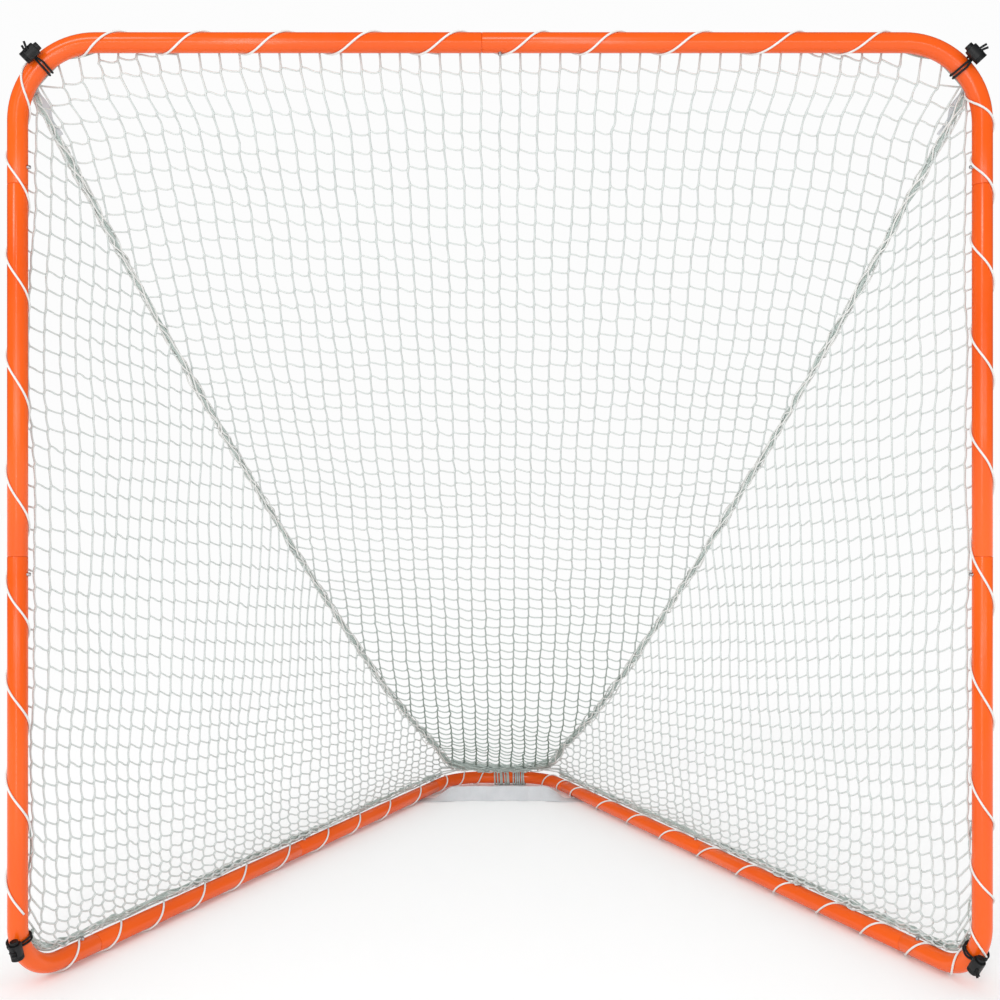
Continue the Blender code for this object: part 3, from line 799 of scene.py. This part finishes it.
class Panel:
    """A panel of square netting: uprights tied by cross twines from knot to knot."""

    def __init__(self, centers, valid, down, across, normal, long, skew, rng, most_bulge):
        self.valid = valid
        self.across = across
        self.normal = normal
        self.rng = rng
        self.most_bulge = most_bulge
        self.high, self.low = knot_ends(centers, down, across, long, skew)

    def uprights(self, tops, bottoms):
        """tops and bottoms hold each upright's end points, and NaN where it has none."""
        strands = Strands()
        for k in range(len(self.valid)):
            found = np.flatnonzero(self.valid[k])
            if not len(found):
                continue
            high, low = self.high[k, found], self.low[k, found]
            starts, ends = low[:-1], high[1:]
            rest = np.full(len(starts), CELL - KNOT_LONG)
            if not np.isnan(tops[k, 0]):
                starts, ends = np.vstack((tops[k], starts)), np.vstack((high[0], ends))
                rest = np.append(0, rest)
            if not np.isnan(bottoms[k, 0]):
                starts, ends = np.vstack((starts, low[-1])), np.vstack((ends, bottoms[k]))
                rest = np.append(rest, 0)
            amount = np.minimum(slack_bulge(starts, ends, rest, 0.0004), self.most_bulge)
            spin = self.rng.normal(0, 0.5, (len(starts), 2))
            way = unit(self.normal * (1 + spin[:, :1]) + 0.2 * self.across * spin[:, 1:])
            path = bowed(starts, ends, way * amount[:, None], 5).reshape(-1, 3)
            thick = np.tile((KNOT_R, TWINE_R, TWINE_R, TWINE_R, KNOT_R), len(starts))
            strands.add(path, thick, self.across)
        return strands

    def crosses(self, sag, slack, ties):
        """Twines from each knot's high end to the low end of the next one across, then the edge ties."""
        strands = Strands()
        both = self.valid[:-1] & self.valid[1:]
        a = np.concatenate((self.high[:-1][both], [start for start, _ in ties]))
        b = np.concatenate((self.low[1:][both], [end for _, end in ties]))
        inside = both.sum()
        drop = np.concatenate((sag[:-1][both], np.full(len(a) - inside, 0.0008)))
        amount = slack_bulge(a, b, CELL, 0.0004) * slack
        amount[inside:] = 0
        amount = np.maximum(amount, drop)
        spin = self.rng.normal(0, 0.28, (len(a), 1))
        way = unit(-UP + self.normal * spin)
        paths = bowed(a, b, way * amount[:, None], 6)
        u = np.linspace(0, 1, 6)[:, None]
        paths = paths + np.sin(math.tau * u) * (self.rng.normal(0.0006, 0.0006, (len(a), 1, 1))) * UP
        strands.add(paths, TWINE_R * 0.94, UP + 0.3 * self.normal)
        return strands


def back_profile():
    """The back panel's line from the crossbar to the rear bar."""
    back = np.linspace(ROPE_TOP[0], ROPE_END[0], 60)
    rope = np.stack((back, rope_height(back)), 1)
    top = np.array(((0.0225, 1.829), (0.0290, 1.792)))
    foot = np.array(((1.562, 0.092), (1.590, 0.066), (1.606, 0.053)))
    flat = np.vstack((top, rope, foot))
    return np.stack((np.zeros(len(flat)), FRONT_Y + flat[:, 0], flat[:, 1]), 1)


def corner_drop(x):
    """Height of the net's top edge behind the crossbar and its bends."""
    past = np.maximum(np.abs(x) - (HALF_WIDTH - TOP_BEND_R), 0)
    return CROSSBAR_Z - TOP_BEND_R + np.sqrt(np.maximum(NET_BEND_R**2 - past * past, 1e-8))


def rope_half_width(back, height):
    """Half the back panel's width at a place on its line."""
    past = np.clip(height - (CROSSBAR_Z - TOP_BEND_R), 0, NET_BEND_R)
    bend = HALF_WIDTH - TOP_BEND_R + np.sqrt(NET_BEND_R**2 - past**2)
    return np.minimum(HALF_WIDTH - back * math.tan(SPLAY), bend)


BACK_ROWS = 70


def make_pouch_foot(materials, rng):
    """The last rows of the back panel, bunched along the rear bar."""
    x = np.linspace(-0.160, 0.160, 80)
    strands = Strands()
    bend = 0.030 * (np.abs(x) / 0.160) ** 3
    for i in range(15):
        knots = np.linspace(x[0], x[-1], 26)
        wave = [np.interp(x, knots, rng.normal(0, size, 26)) for size in (0.0030, 0.0022)]
        back = 1.590 - bend + 0.010 * math.sin(i * 2.4) + wave[0]
        height = 0.0520 + 0.0014 * i + 0.9 * bend + wave[1]
        path = curve_through(np.stack((x, FRONT_Y + back, height), 1), 2)
        strands.add(path, TWINE_R * 0.9, UP)
    # Painted shade: the bunched rows take the darker shaded twine, for the shadow at the pouch's foot.
    settle(strands.build("back_net_foot", materials["shaded_twine"]), "white_netting", "back_net")


def make_back_net(materials, rng):
    """The deep back panel. Its rows close up towards the foot, and lean up beside the seam ropes."""
    line = back_profile()
    total = lengths(line)[-1]
    steps = 1 - 0.80 * np.exp(-((np.arange(BACK_ROWS)[::-1] / 11.5) ** 2))
    at = np.concatenate(([0], np.cumsum(steps))) * total / steps.sum()
    columns = np.arange(-23, 24)
    spread = 0.0393 - 0.0017 * smoothstep(at, 0, 0.16) + 0.0014 * smoothstep(at, 1.0, 1.7)
    x = columns[:, None] * spread[None]
    middle, _ = sample(line, at)
    half = rope_half_width(middle[:, 1] - FRONT_Y, middle[:, 2])
    near = np.clip(1 - (half[None] - np.abs(x)) / 0.24, 0, 1)
    shift = 0.030 * near**2 * (1 - smoothstep(at, 0.5, 1.0))[None]
    low = smoothstep(at, 1.35, 2.2)[None]
    shift = shift + ripple(rng, x.shape, 0.0020, 3) + ripple(rng, x.shape, 0.0007, 0) * (1 + low)
    points, down = sample(line, np.clip(at[None] + shift, 0, total).ravel())
    points = points.reshape(*x.shape, 3)
    down = down.reshape(*x.shape, 3)
    normal = np.cross(RIGHT, down)
    points[..., 0] = x + ripple(rng, x.shape, 0.0013, 2) + ripple(rng, x.shape, 0.0005, 0)
    points += normal * (ripple(rng, x.shape, 0.006, 14))[..., None] * smoothstep(at, 0, 0.3)[None, :, None]
    valid = np.abs(x) < (half - 0.010)[None]
    valid &= points[..., 2] < corner_drop(x) - 0.004
    valid[:, -1] = False
    long = np.full(x.shape, KNOT_LONG)
    skew = np.full(x.shape, 0.0008)
    panel = Panel(points, valid, down, RIGHT, np.array((0, 0.66, 0.75)), long, skew, rng, 0.004)

    edge_x = columns * spread[0]
    tops = np.stack((edge_x, np.full(len(columns), FRONT_Y + 0.0225), corner_drop(edge_x)), 1)
    bottoms = np.full((len(columns), 3), np.nan)
    for k in range(len(columns)):
        last = np.flatnonzero(valid[k])[-1]
        below = min(last + 1, BACK_ROWS)
        gap_now = half[last] - abs(x[k, last])
        gap_next = half[below] - abs(x[k, below])
        share = np.clip(gap_now / max(gap_now - gap_next, 1e-6), 0.1, 1)
        bottoms[k] = middle[last] * (1 - share) + middle[below] * share
        bottoms[k, 0] = x[k, last]
    uprights = panel.uprights(tops, bottoms)

    edges = []
    for i in range(1, BACK_ROWS):
        found = np.flatnonzero(valid[:, i])
        for k, sign in ((found[0], -1), (found[-1], 1)):
            rope = sample(line, np.array([at[i] + shift[k, i]]))[0][0]
            rope = rope + RIGHT * sign * rope_half_width(rope[1] - FRONT_Y, rope[2])
            knot = panel.low[k, i] if sign < 0 else panel.high[k, i]
            edges.append((rope, knot) if sign < 0 else (knot, rope))
    sag = np.broadcast_to(0.0008 + 0.0046 * smoothstep(at, 1.3, 2.05)[None], x.shape)
    crosses = panel.crosses(sag, 0.6, edges)
    settle(uprights.build("back_net_uprights", materials["rear_twine"]), "white_netting", "back_net")
    settle(crosses.build("back_net_crosses", materials["cross_twine"]), "white_netting", "back_net")
    make_pouch_foot(materials, rng)


def foot_edge(along):
    """Height of the side panel's lower edge: round the foot bend, then along the top of the base."""
    r = NET_FOOT_R
    past = np.clip(FOOT_BEND_R - along, 0, r)
    bend = BASE_Z + FOOT_BEND_R - np.sqrt(r * r - past * past)
    return np.where(along < FOOT_BEND_R, bend, BASE_Z + 0.0208)


POUCH_TURN = ((0.178, 1.560, 0.096), (0.150, 1.584, 0.074), (0.115, 1.594, 0.064))
SIDE_FIRST = 0.050
SIDE_COLUMNS = 44
SIDE_ROWS = 48
SIDE_ROWS_ABOVE = 17
SIDE_ROW_Z = 1.1331
CROWDING = 0.090
SQUEEZE = 0.86
EDGE_CORD_R = 0.0019


def crowded(along, z):
    """How far a column sits along the base: low down, the columns crowd towards the post."""
    end = SIDE_FIRST + CELL * (SIDE_COLUMNS - 1)
    share = np.clip(along / end, 0, 1)
    return along - CROWDING * np.sin(math.pi * share) * (1 - smoothstep(z, 0, 1.3)) - 0.012 * (1 - share)


def make_side_net(side, word, twine, rng):
    """One side panel. Its columns hang straight, and its rows are squeezed together over the base."""
    along = SIDE_FIRST + CELL * np.arange(SIDE_COLUMNS)
    top_along = crowded(along, rope_height(along * math.cos(SPLAY)))
    rope = rope_height(top_along * math.cos(SPLAY))
    foot_along = crowded(along, 0.0)
    natural = SIDE_ROW_Z + CELL * (SIDE_ROWS_ABOVE - np.arange(SIDE_ROWS))
    t = along[:, None]
    drop = 0.17 * t * (1 - smoothstep(natural, 0.55, 1.25))[None] + 0.010 * t
    level = natural[None] - drop
    edge = foot_edge(foot_along)[:, None]
    excess = edge - level[:, -1:] + 0.004
    reach = np.maximum(excess / SQUEEZE, 1e-3)
    above = level - level[:, -1:]
    z = edge + above - excess * (1 - np.exp(-above / reach)) + 0.004
    low = 1 - smoothstep(z - edge, 0.01, 0.16)
    z = z + ripple(rng, z.shape, 0.0018, 3) + ripple(rng, z.shape, 0.0007, 0) * (1 + 1.2 * low)
    wander = ripple(rng, z.shape, 0.0014, 4) + ripple(rng, z.shape, 0.0006, 0) * (1 + 2.0 * low)
    out = ripple(rng, z.shape, 0.005, 12) + low * ripple(rng, z.shape, 0.002, 0)
    out = np.clip(out + 0.004 * low, -0.006, 0.012)
    place = crowded(t, z)
    points = side_point(side, place + wander, out, z)
    rope_there = rope_height(place * math.cos(SPLAY))
    valid = (z < rope_there - 0.012) & (z > edge + 0.003)
    lift = np.broadcast_to(-UP, points.shape)
    squeeze = np.clip(1 + np.gradient(z, axis=1) / CELL, 0, 1)
    skew = 0.0012 + 0.0052 * squeeze
    long = KNOT_LONG * (1.1 - 0.7 * squeeze)
    panel = Panel(points, valid, lift, base_direction(side), outward(side), long, skew, rng, 0.0020)

    tops = side_point(side, top_along, 0, rope - 0.003)
    tops[rope - edge[:, 0] < 0.03] = np.nan
    bottoms = side_point(side, foot_along + rng.normal(0, 0.006, len(along)), 0.009, edge[:, 0] + 0.001)
    uprights = panel.uprights(tops, bottoms)

    ties = []
    for i in range(SIDE_ROWS):
        found = np.flatnonzero(valid[:, i])
        if not len(found):
            continue
        if found[0] == 0:
            start = side_point(side, 0.0215, 0.007, z[0, i] + 0.004)
            ties.append((start, panel.low[0, i]))
        k = found[-1]
        if k + 1 == SIDE_COLUMNS:
            turn = pouch_turn(side)
            end = turn[np.argmin(np.abs(turn[:, 2] - z[k, i] + 0.004))]
            ties.append((panel.high[k, i], end))
        else:
            gap_now = rope_there[k, i] - z[k, i]
            gap_next = rope_there[k + 1, i] - z[k + 1, i]
            share = np.clip(gap_now / max(gap_now - gap_next, 1e-6), 0.1, 1)
            reached = place[k, i] + (place[k + 1, i] - place[k, i]) * share
            end = side_point(side, reached, 0, rope_height(reached * math.cos(SPLAY)))
            ties.append((panel.high[k, i], end))
    sag = np.full(z.shape, 0.0007)
    crosses = panel.crosses(sag, 0.22, ties)
    settle(uprights.build(f"{word}_side_net_uprights", twine), "white_netting", f"{word}_side_net")
    settle(crosses.build(f"{word}_side_net_crosses", twine), "white_netting", f"{word}_side_net")


def pouch_turn(side):
    """Where the seam rope leaves the side panel and rounds into the pouch."""
    back = ROPE_END[0] - 0.02
    start = side_point(side, back / math.cos(SPLAY), 0, rope_height(back))
    turn = [(side * x, FRONT_Y + y, z) for x, y, z in POUCH_TURN]
    return curve_through((start, *turn), 8)


def make_edges(side, word, materials, rng):
    """The cord along the side panel's front and lower edges, and the gathered twine beside it."""
    post_z = np.arange(1.68, 0.13, -0.012)
    stations = POST_LACE[side][::-1]
    swing = np.abs(np.sin(math.pi * np.interp(post_z, stations, np.arange(len(stations)))))
    bow = (0.003 + 0.010 * (1 - smoothstep(post_z, 0.20, 0.60))) * swing
    post = side_point(side, 0.0215 + bow, 0.009 - bow * 0.6, post_z)
    a = np.linspace(0.15, math.pi / 2, 12)
    r = NET_FOOT_R
    bend = side_point(side, FOOT_BEND_R - r * np.cos(a), 0.008, BASE_Z + FOOT_BEND_R - r * np.sin(a))
    run = np.arange(0.115, 1.735, 0.012)
    lift = 0.0022 * np.abs(np.sin(math.pi * run / 0.155))
    base = side_point(side, run, 0.0105, BASE_Z + 0.0208 + lift)
    path = curve_through(np.vstack((post, bend, base)), 2)
    cord = Strands()
    cord.add(path, EDGE_CORD_R, outward(side))
    foot = np.vstack((side_point(side, 0.040, 0.004, 0.095), bend[4:], base))
    grid = np.arange(len(foot))
    loose = np.arange(0, len(foot) + 3, 3)
    for k in range(5):
        wave = [np.interp(grid, loose, rng.normal(0, size, len(loose))) for size in (0.003, 0.0025, 0.003)]
        lift = 0.0035 + 0.0016 * k + np.abs(wave[2])
        axes = np.array((base_direction(side), outward(side), UP))
        offset = np.stack((wave[0], wave[1], lift), 1) @ axes
        cord.add(curve_through(foot + offset, 3), TWINE_R * 0.8, outward(side))
    # Painted shade: the edge cord and the gathered twine beside it take the darker shaded twine.
    settle(cord.build(f"{word}_net_edge_cord", materials["shaded_twine"]), "white_netting")


def make_top_edge(materials):
    """The cord along the net's top edge. It shows under the crossbar only by the bends."""
    x = np.linspace(-0.915, 0.915, 210)
    bow = 0.009 * smoothstep(np.abs(x), 0.70, 0.80) * np.abs(np.sin(math.pi * (np.abs(x) - 0.7) / 0.077))
    path = np.stack((x, np.full(len(x), FRONT_Y + 0.0232), corner_drop(x) - bow), 1)
    # Painted shade: the top edge cord takes the darker shaded twine, for its shadow under the crossbar.
    twine = materials["shaded_twine"]
    add_cord("top_net_edge_cord", path, EDGE_CORD_R, BACK, twine, "white_netting", sides=6)


def make_seam_rope(side, word, materials, rng):
    """The two panels' edges, gathered with twine into an uneven rope that rounds into the pouch."""
    back = np.linspace(ROPE_TOP[0], ROPE_END[0] - 0.02, 180)
    center = side_point(side, back / math.cos(SPLAY), 0.0, rope_height(back))
    center = np.vstack((center, pouch_turn(side)[1:]))
    along = tangents(center)
    flat = unit(np.cross(along, outward(side)))
    share = lengths(center) / lengths(center)[-1]
    wide = 0.0056 + 0.0026 * smoothstep(share, 0.55, 0.9) + 0.0020 * np.sin(share * 41 + side) ** 2
    knots = np.linspace(0, 1, 70)
    # Painted shade: the core strands take the darker shaded twine, for the shadow inside the gathered rope
    # under the white wrap.
    for word_end, count, spread, turns, thick, material in (
        ("core", 7, 0.42, 9, 1.25, "shaded_twine"),
        ("wrap", 6, 1.25, 10, 0.85, "lace"),
    ):
        strands = Strands()
        for i in range(count):
            hand = -1 if word_end == "wrap" and i % 2 else 1
            stray = np.interp(share, knots, rng.normal(0, 0.7, 70))
            a = math.tau * (i / count + hand * share * turns) + stray
            r = wide * (spread + np.interp(share, knots, rng.normal(0, 0.24, 70)))
            off = flat * np.cos(a)[:, None] + outward(side) * 0.8 * np.sin(a)[:, None]
            path = curve_through(center + off * r[:, None], 2)
            strands.add(path, TWINE_R * thick, transported(path, flat[0]))
        piece = strands.build(f"{word}_seam_{word_end}", materials[material])
        settle(piece, "white_netting", f"{word}_seam_rope")


def make_net(materials):
    rng = np.random.default_rng(11)
    make_back_net(materials, rng)
    for side, word in SIDES:
        make_side_net(side, word, materials["twine"], rng)
        make_edges(side, word, materials, rng)
        make_seam_rope(side, word, materials, rng)
    make_top_edge(materials)


# ---- webbing


BAND_OUT = 0.0195
BAND_WIDTH = 0.018


def ribbon(name, path, widths, wide_dirs, thick, material, across=7):
    """A closed strip of webbing. UV u runs across it and v along it in metres."""
    path = np.asarray(path)
    along = tangents(path)
    wide = unit(wide_dirs - along * (wide_dirs * along).sum(1, keepdims=True))
    face = np.cross(along, wide)
    u = np.linspace(-0.5, 0.5, across)
    middle = path[:, None] + wide[:, None] * (u[:, None] * widths[:, None, None])
    half = face[:, None] * thick / 2
    ring = np.concatenate((middle + half, (middle - half)[:, ::-1]), axis=1)
    steps, count, _ = ring.shape
    share = np.concatenate((u + 0.5, u[::-1] + 0.5))
    uvs = np.concatenate((ring_uvs(share, np.roll(share, -1), lengths(path)), np.zeros((2 * count, 2))))
    caps = [tuple(range(count))[::-1], tuple((steps - 1) * count + n for n in range(count))]
    faces = ring_faces(steps, count).reshape(-1, 4).tolist() + caps
    return add_object(name, ring.reshape(-1, 3).tolist(), faces, material, uvs, sharp=50)


def make_border_band(material):
    """The webbing along the net's edge, seen just outside the posts."""
    out = HALF_WIDTH + BAND_OUT
    y = FRONT_Y + 0.0257
    high = CROSSBAR_Z + BAND_OUT
    corners = [(-out, y, 0.120), (-out, y, high), (out, y, high), (out, y, 0.120)]
    path = filleted(corners, [TOP_BEND_R + BAND_OUT] * 2)
    at = np.arange(0, lengths(path)[-1], 0.010)
    points, along = sample(path, at)
    wave = 0.0014 * np.sin(at * 31) + 0.0010 * np.sin(at * 73 + 1)
    side = np.cross(along, BACK)
    points = points + side * wave[:, None]
    band = ribbon("border_webbing", points, np.full(len(at), BAND_WIDTH), side, 0.001, material)
    settle(band, "white_webbing", "net_border_webbing")


def make_rear_strap(material):
    """Webbing that lies flat under both base tubes and stands on edge between them."""
    width, thick, half = 0.045, 0.0015, 0.285
    x = np.linspace(-half, half, 130)
    share = np.clip((0.215 - np.abs(x)) / 0.09, 0, 1)
    tilt = math.radians(72) * smoothstep(share, 0, 1)
    wide = np.stack((np.zeros(len(x)), np.cos(tilt), np.sin(tilt)), 1)
    rise = wide[:, 2] * width / 2 + thick / 2 * np.cos(tilt)
    wrinkle = share * (0.0016 * np.sin(x * 62) + 0.0010 * np.sin(x * 137 + 2))
    path = np.stack((x, FRONT_Y + 1.422 + wrinkle, rise), 1)
    strap = ribbon("rear_strap_webbing", path, np.full(len(x), width), wide, thick, material, across=9)
    settle(strap, "white_webbing", "rear_strap")


def make_corner_tabs(material):
    """White webbing sewn over the start of each seam rope."""
    for side, word in SIDES:
        back = np.linspace(0.030, 0.090, 16)
        path = side_point(side, back / math.cos(SPLAY), -0.004, rope_height(back) + 0.004)
        share = np.linspace(0, 1, len(back))
        path = path + outward(side) * (0.004 * np.sin(share * 11))[:, None]
        widths = 0.021 - 0.009 * share
        wide = unit(np.cross(tangents(path), np.broadcast_to(BACK, path.shape)))
        tab = ribbon(f"{word}_corner_tab", path, widths, wide, 0.0012, material)
        settle(tab, "white_webbing")


# ---- cord locks


LOCK_OUT = 0.038
LOCK_HALF = 0.016
LOCK_R = 0.0125
LOCK_TRAVEL = 0.004
LOOP_CORD_R = 0.0022
LOOP_R = 0.0225
LOOP_SPLIT = 0.0026
LOOP_ROOM = 0.0006
UPPER_LOCKS = ((-1, "left", 44, 72, (-0.35, -0.5, 1.0)), (1, "right", 47, 55, (0.9, -0.6, 0.3)))
LOWER_LOCKS = ((-1, "left", 16, -39, (-0.6, -0.7, 0.5)), (1, "right", 32, -42, (0.1, -0.5, -1.0)))


def lock_places():
    """Each corner: name, point on the bend, the tube's direction, the lock's side, its tails' way."""
    places = []
    for side, word, turn, lean, tail in UPPER_LOCKS:
        a, lean = math.radians(turn), math.radians(lean)
        center = top_corner(side) - (RIGHT * side + UP) * TOP_BEND_R
        away = RIGHT * side * math.sin(a) + UP * math.cos(a)
        toward = away * math.cos(lean) - BACK * math.sin(lean)
        along = RIGHT * side * math.cos(a) - UP * math.sin(a)
        places.append((f"upper_{word}", center + away * TOP_BEND_R, along, toward, tail))
    for side, word, turn, lean, tail in LOWER_LOCKS:
        a, lean = math.radians(turn), math.radians(lean)
        back = base_direction(side)
        center = base_line(side, FOOT_BEND_R) + UP * FOOT_BEND_R
        away = -back * math.cos(a) - UP * math.sin(a)
        toward = away * math.cos(lean) + outward(side) * math.sin(lean)
        along = back * math.sin(a) - UP * math.cos(a)
        places.append((f"lower_{word}", center + away * FOOT_BEND_R, along, toward, tail))
    return places


def barrel_profile():
    """The barrel's outside with three grip ridges at its closed end, then its bore."""
    wall = LOCK_R - 0.0008
    profile = [(0.0104, LOCK_HALF), (0.0117, LOCK_HALF - 0.0006), (wall, LOCK_HALF - 0.0016)]
    for i in range(3):
        ridge = LOCK_HALF - 0.0026 - i * 0.0022
        profile += [(wall, ridge), (wall - 0.0007, ridge - 0.0006), (wall, ridge - 0.0012)]
    profile += [(wall + 0.0001, 0.004), (wall + 0.0001, -LOCK_HALF + 0.0022)]
    profile += [(wall - 0.0004, -LOCK_HALF + 0.0006), (0.0104, -LOCK_HALF), (0.0086, -LOCK_HALF)]
    return profile + [(0.0085, -LOCK_HALF + 0.001), (0.0085, 0.0135)]


def cut_slot(piece, place, along, toward, low, high):
    """Cuts the cord's slot through a barrel or plunger, from low to high along it."""
    side = np.cross(toward, along)
    half = LOOP_CORD_R + LOOP_ROOM
    corners = []
    for z in (-0.02, 0.02):
        for x, y in ((low, -half), (high, -half), (high, half), (low, half)):
            corners.append(tuple(place + along * x + side * y + toward * z))
    faces = [(3, 2, 1, 0), (4, 5, 6, 7), (0, 1, 5, 4), (1, 2, 6, 5), (2, 3, 7, 6), (3, 0, 4, 7)]
    tool = add_object("slot_tool", corners, faces, None)
    apply_cuts(piece, [tool])
    bpy.data.objects.remove(tool)


def loop_path(place, along, toward, tail):
    """Elastic cord: tail, through the lock, twice round the tube and back out beside itself."""
    axes = np.stack((along, np.cross(toward, along), toward))
    share = np.linspace(0, 1, 25)
    a = np.radians(40 + 640 * share)
    rounds = np.stack((LOOP_SPLIT * 2.4 * (2 * share - 1), LOOP_R * np.sin(a), LOOP_R * np.cos(a)), 1)
    leave = LOCK_OUT + LOCK_R + 0.001
    tip = axes @ unit(np.asarray(tail, float)) * 0.011
    lead = np.array([(0, 0, leave), (0, 0, LOCK_OUT), (0, 0, LOCK_OUT - LOCK_R)])
    apart = RIGHT * LOOP_SPLIT
    first = tip + (-LOOP_SPLIT - 0.0012, 0, leave + 0.002)
    last = tip * 0.8 + (LOOP_SPLIT + 0.0012, 0.001, leave + 0.002)
    local = curve_through(np.vstack((first, lead - apart, rounds, lead[::-1] + apart, last)), 6)
    return place + local @ axes


def make_lock_spring(name, spot, along, toward, steel):
    """A coil between the plunger and the barrel's closed end."""
    low, high, wire = 0.0078, 0.0127, 0.0005
    turn = np.linspace(0, 3, 73)[:, None]
    side = np.cross(toward, along)
    around = side * np.cos(math.tau * turn) + toward * np.sin(math.tau * turn)
    path = spot + along * (low + (high - low) * turn / 3) + around * 0.0055
    spring = add_cord(f"{name}_coil", path, wire, around, steel, "spring_steel", f"{name}_lock_spring")
    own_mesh(spring)


def make_cord_locks(materials):
    """A cord lock at each corner: barrel, plunger, coil spring and elastic cord."""
    plastic = materials["plastic"]
    reach = LOOP_SPLIT + LOOP_CORD_R + LOOP_ROOM
    plunger_profile = [(0.0060, 0.0070), (0.0079, 0.0066), (0.0079, -0.0195), (0.0074, -0.0200)]
    plunger_profile += [(0.0074, -0.0206), (0.0079, -0.0211), (0.0077, -0.0222), (0.0060, -0.0230)]
    plunger_profile += [(0.0030, -0.0226), (0.0005, -0.0225)]
    for name, place, along, toward, tail in lock_places():
        spot = place + toward * LOCK_OUT
        outside = barrel_profile()[::-1]
        barrel = turned(f"{name}_ridged_barrel", outside, plastic, spot, along, squareness=0.05, sharp=30)
        cut_slot(barrel, spot, along, toward, -reach, reach)
        settle(barrel, "black_plastic", f"{name}_lock_barrel")
        plunger = turned(f"{name}_ribbed_plunger", plunger_profile[::-1], plastic, spot, along, sharp=30)
        cut_slot(plunger, spot, along, toward, -reach - LOCK_TRAVEL, reach)
        settle(plunger, "black_plastic", f"{name}_lock_plunger", body=f"{name}_lock_plunger")
        make_lock_spring(name, spot, along, toward, materials["steel"])
        path = loop_path(place, along, toward, tail)
        normal, cord = transported(path, along), materials["black_cord"]
        node = f"{name}_cord_loop"
        add_cord(f"{name}_elastic", path, LOOP_CORD_R, normal, cord, "black_cord", node, sides=10)


# ---- stage


CAMERA_BACK = 2.2366
CAMERA_Z = 0.951
CAMERA_LENS = 41.6
SURROUND = 0.98
REFLECTED_SURROUND = 0.10
KEY_STRENGTH = 0.5
KEY_ANGLE = math.radians(16)
KEY_FROM = (-0.42, -1.0, 0.62)


def place_object(name, data, place, turn):
    obj = bpy.data.objects.new(name, data)
    obj.location = place
    obj.rotation_euler = turn
    bpy.context.scene.collection.objects.link(obj)
    return obj


def make_camera():
    data = bpy.data.cameras.new("camera")
    data.lens = CAMERA_LENS
    data.sensor_width = 36
    place = (0, FRONT_Y - CAMERA_BACK, CAMERA_Z)
    bpy.context.scene.camera = place_object("camera", data, place, (math.pi / 2, 0, 0))


def strip_light(name, place, size, power):
    """A rectangular light that faces the goal. It draws the streaks along the tubes."""
    data = bpy.data.lights.new(name, "AREA")
    data.shape = "RECTANGLE"
    data.size, data.size_y = size
    data.energy = power
    place_object(name, data, place, (math.pi / 2, 0, 0))


def make_surround():
    """Even white all round, but dimmer in reflections so that the tubes keep their colour."""
    world = bpy.data.worlds.new("surround")
    bpy.context.scene.world = world
    world.use_nodes = True
    tree = world.node_tree
    rays = tree.nodes.new("ShaderNodeLightPath")
    strength = tree.nodes.new("ShaderNodeMapRange")
    strength.inputs["To Min"].default_value = SURROUND
    strength.inputs["To Max"].default_value = REFLECTED_SURROUND
    tree.links.new(rays.outputs["Is Glossy Ray"], strength.inputs["Value"])
    background = tree.nodes["Background"]
    background.inputs["Color"].default_value = (1, 1, 1, 1)
    tree.links.new(strength.outputs["Result"], background.inputs["Strength"])


def make_stage():
    """A pale floor, an even white surround and one broad soft light from the front left."""
    size = 60
    corners = [(-size, -size, 0), (size, -size, 0), (size, size, 0), (-size, size, 0)]
    pale = new_material("pale_floor", (0.93, 0.93, 0.93), 0.95, Specular_IOR_Level=0.0)
    floor = add_object("floor", corners, [(0, 1, 2, 3)], pale)
    floor.location.z = -0.0005
    make_surround()
    data = bpy.data.lights.new("key", "SUN")
    data.energy = KEY_STRENGTH
    data.angle = KEY_ANGLE
    place_object("key", data, (0, 0, 0), Vector(KEY_FROM).to_track_quat("Z", "Y").to_euler())
    strip_light("tall_strip", (-0.6, FRONT_Y - 3.0, 1.3), (0.30, 4.0), 20)
    strip_light("wide_strip", (0, FRONT_Y - 3.2, 1.35), (5.0, 0.26), 17)
    bpy.context.scene.view_settings.view_transform = "Standard"


def main():
    materials = make_materials()
    make_camera()
    make_stage()
    make_tubes(materials["paint"])
    make_buttons(materials["steel"])
    make_lacing(materials["lace"])
    make_lashings(materials, np.random.default_rng(5))
    make_net(materials)
    make_border_band(materials["webbing"])
    make_rear_strap(materials["webbing"])
    make_corner_tabs(materials["webbing"])
    make_cord_locks(materials)


main()
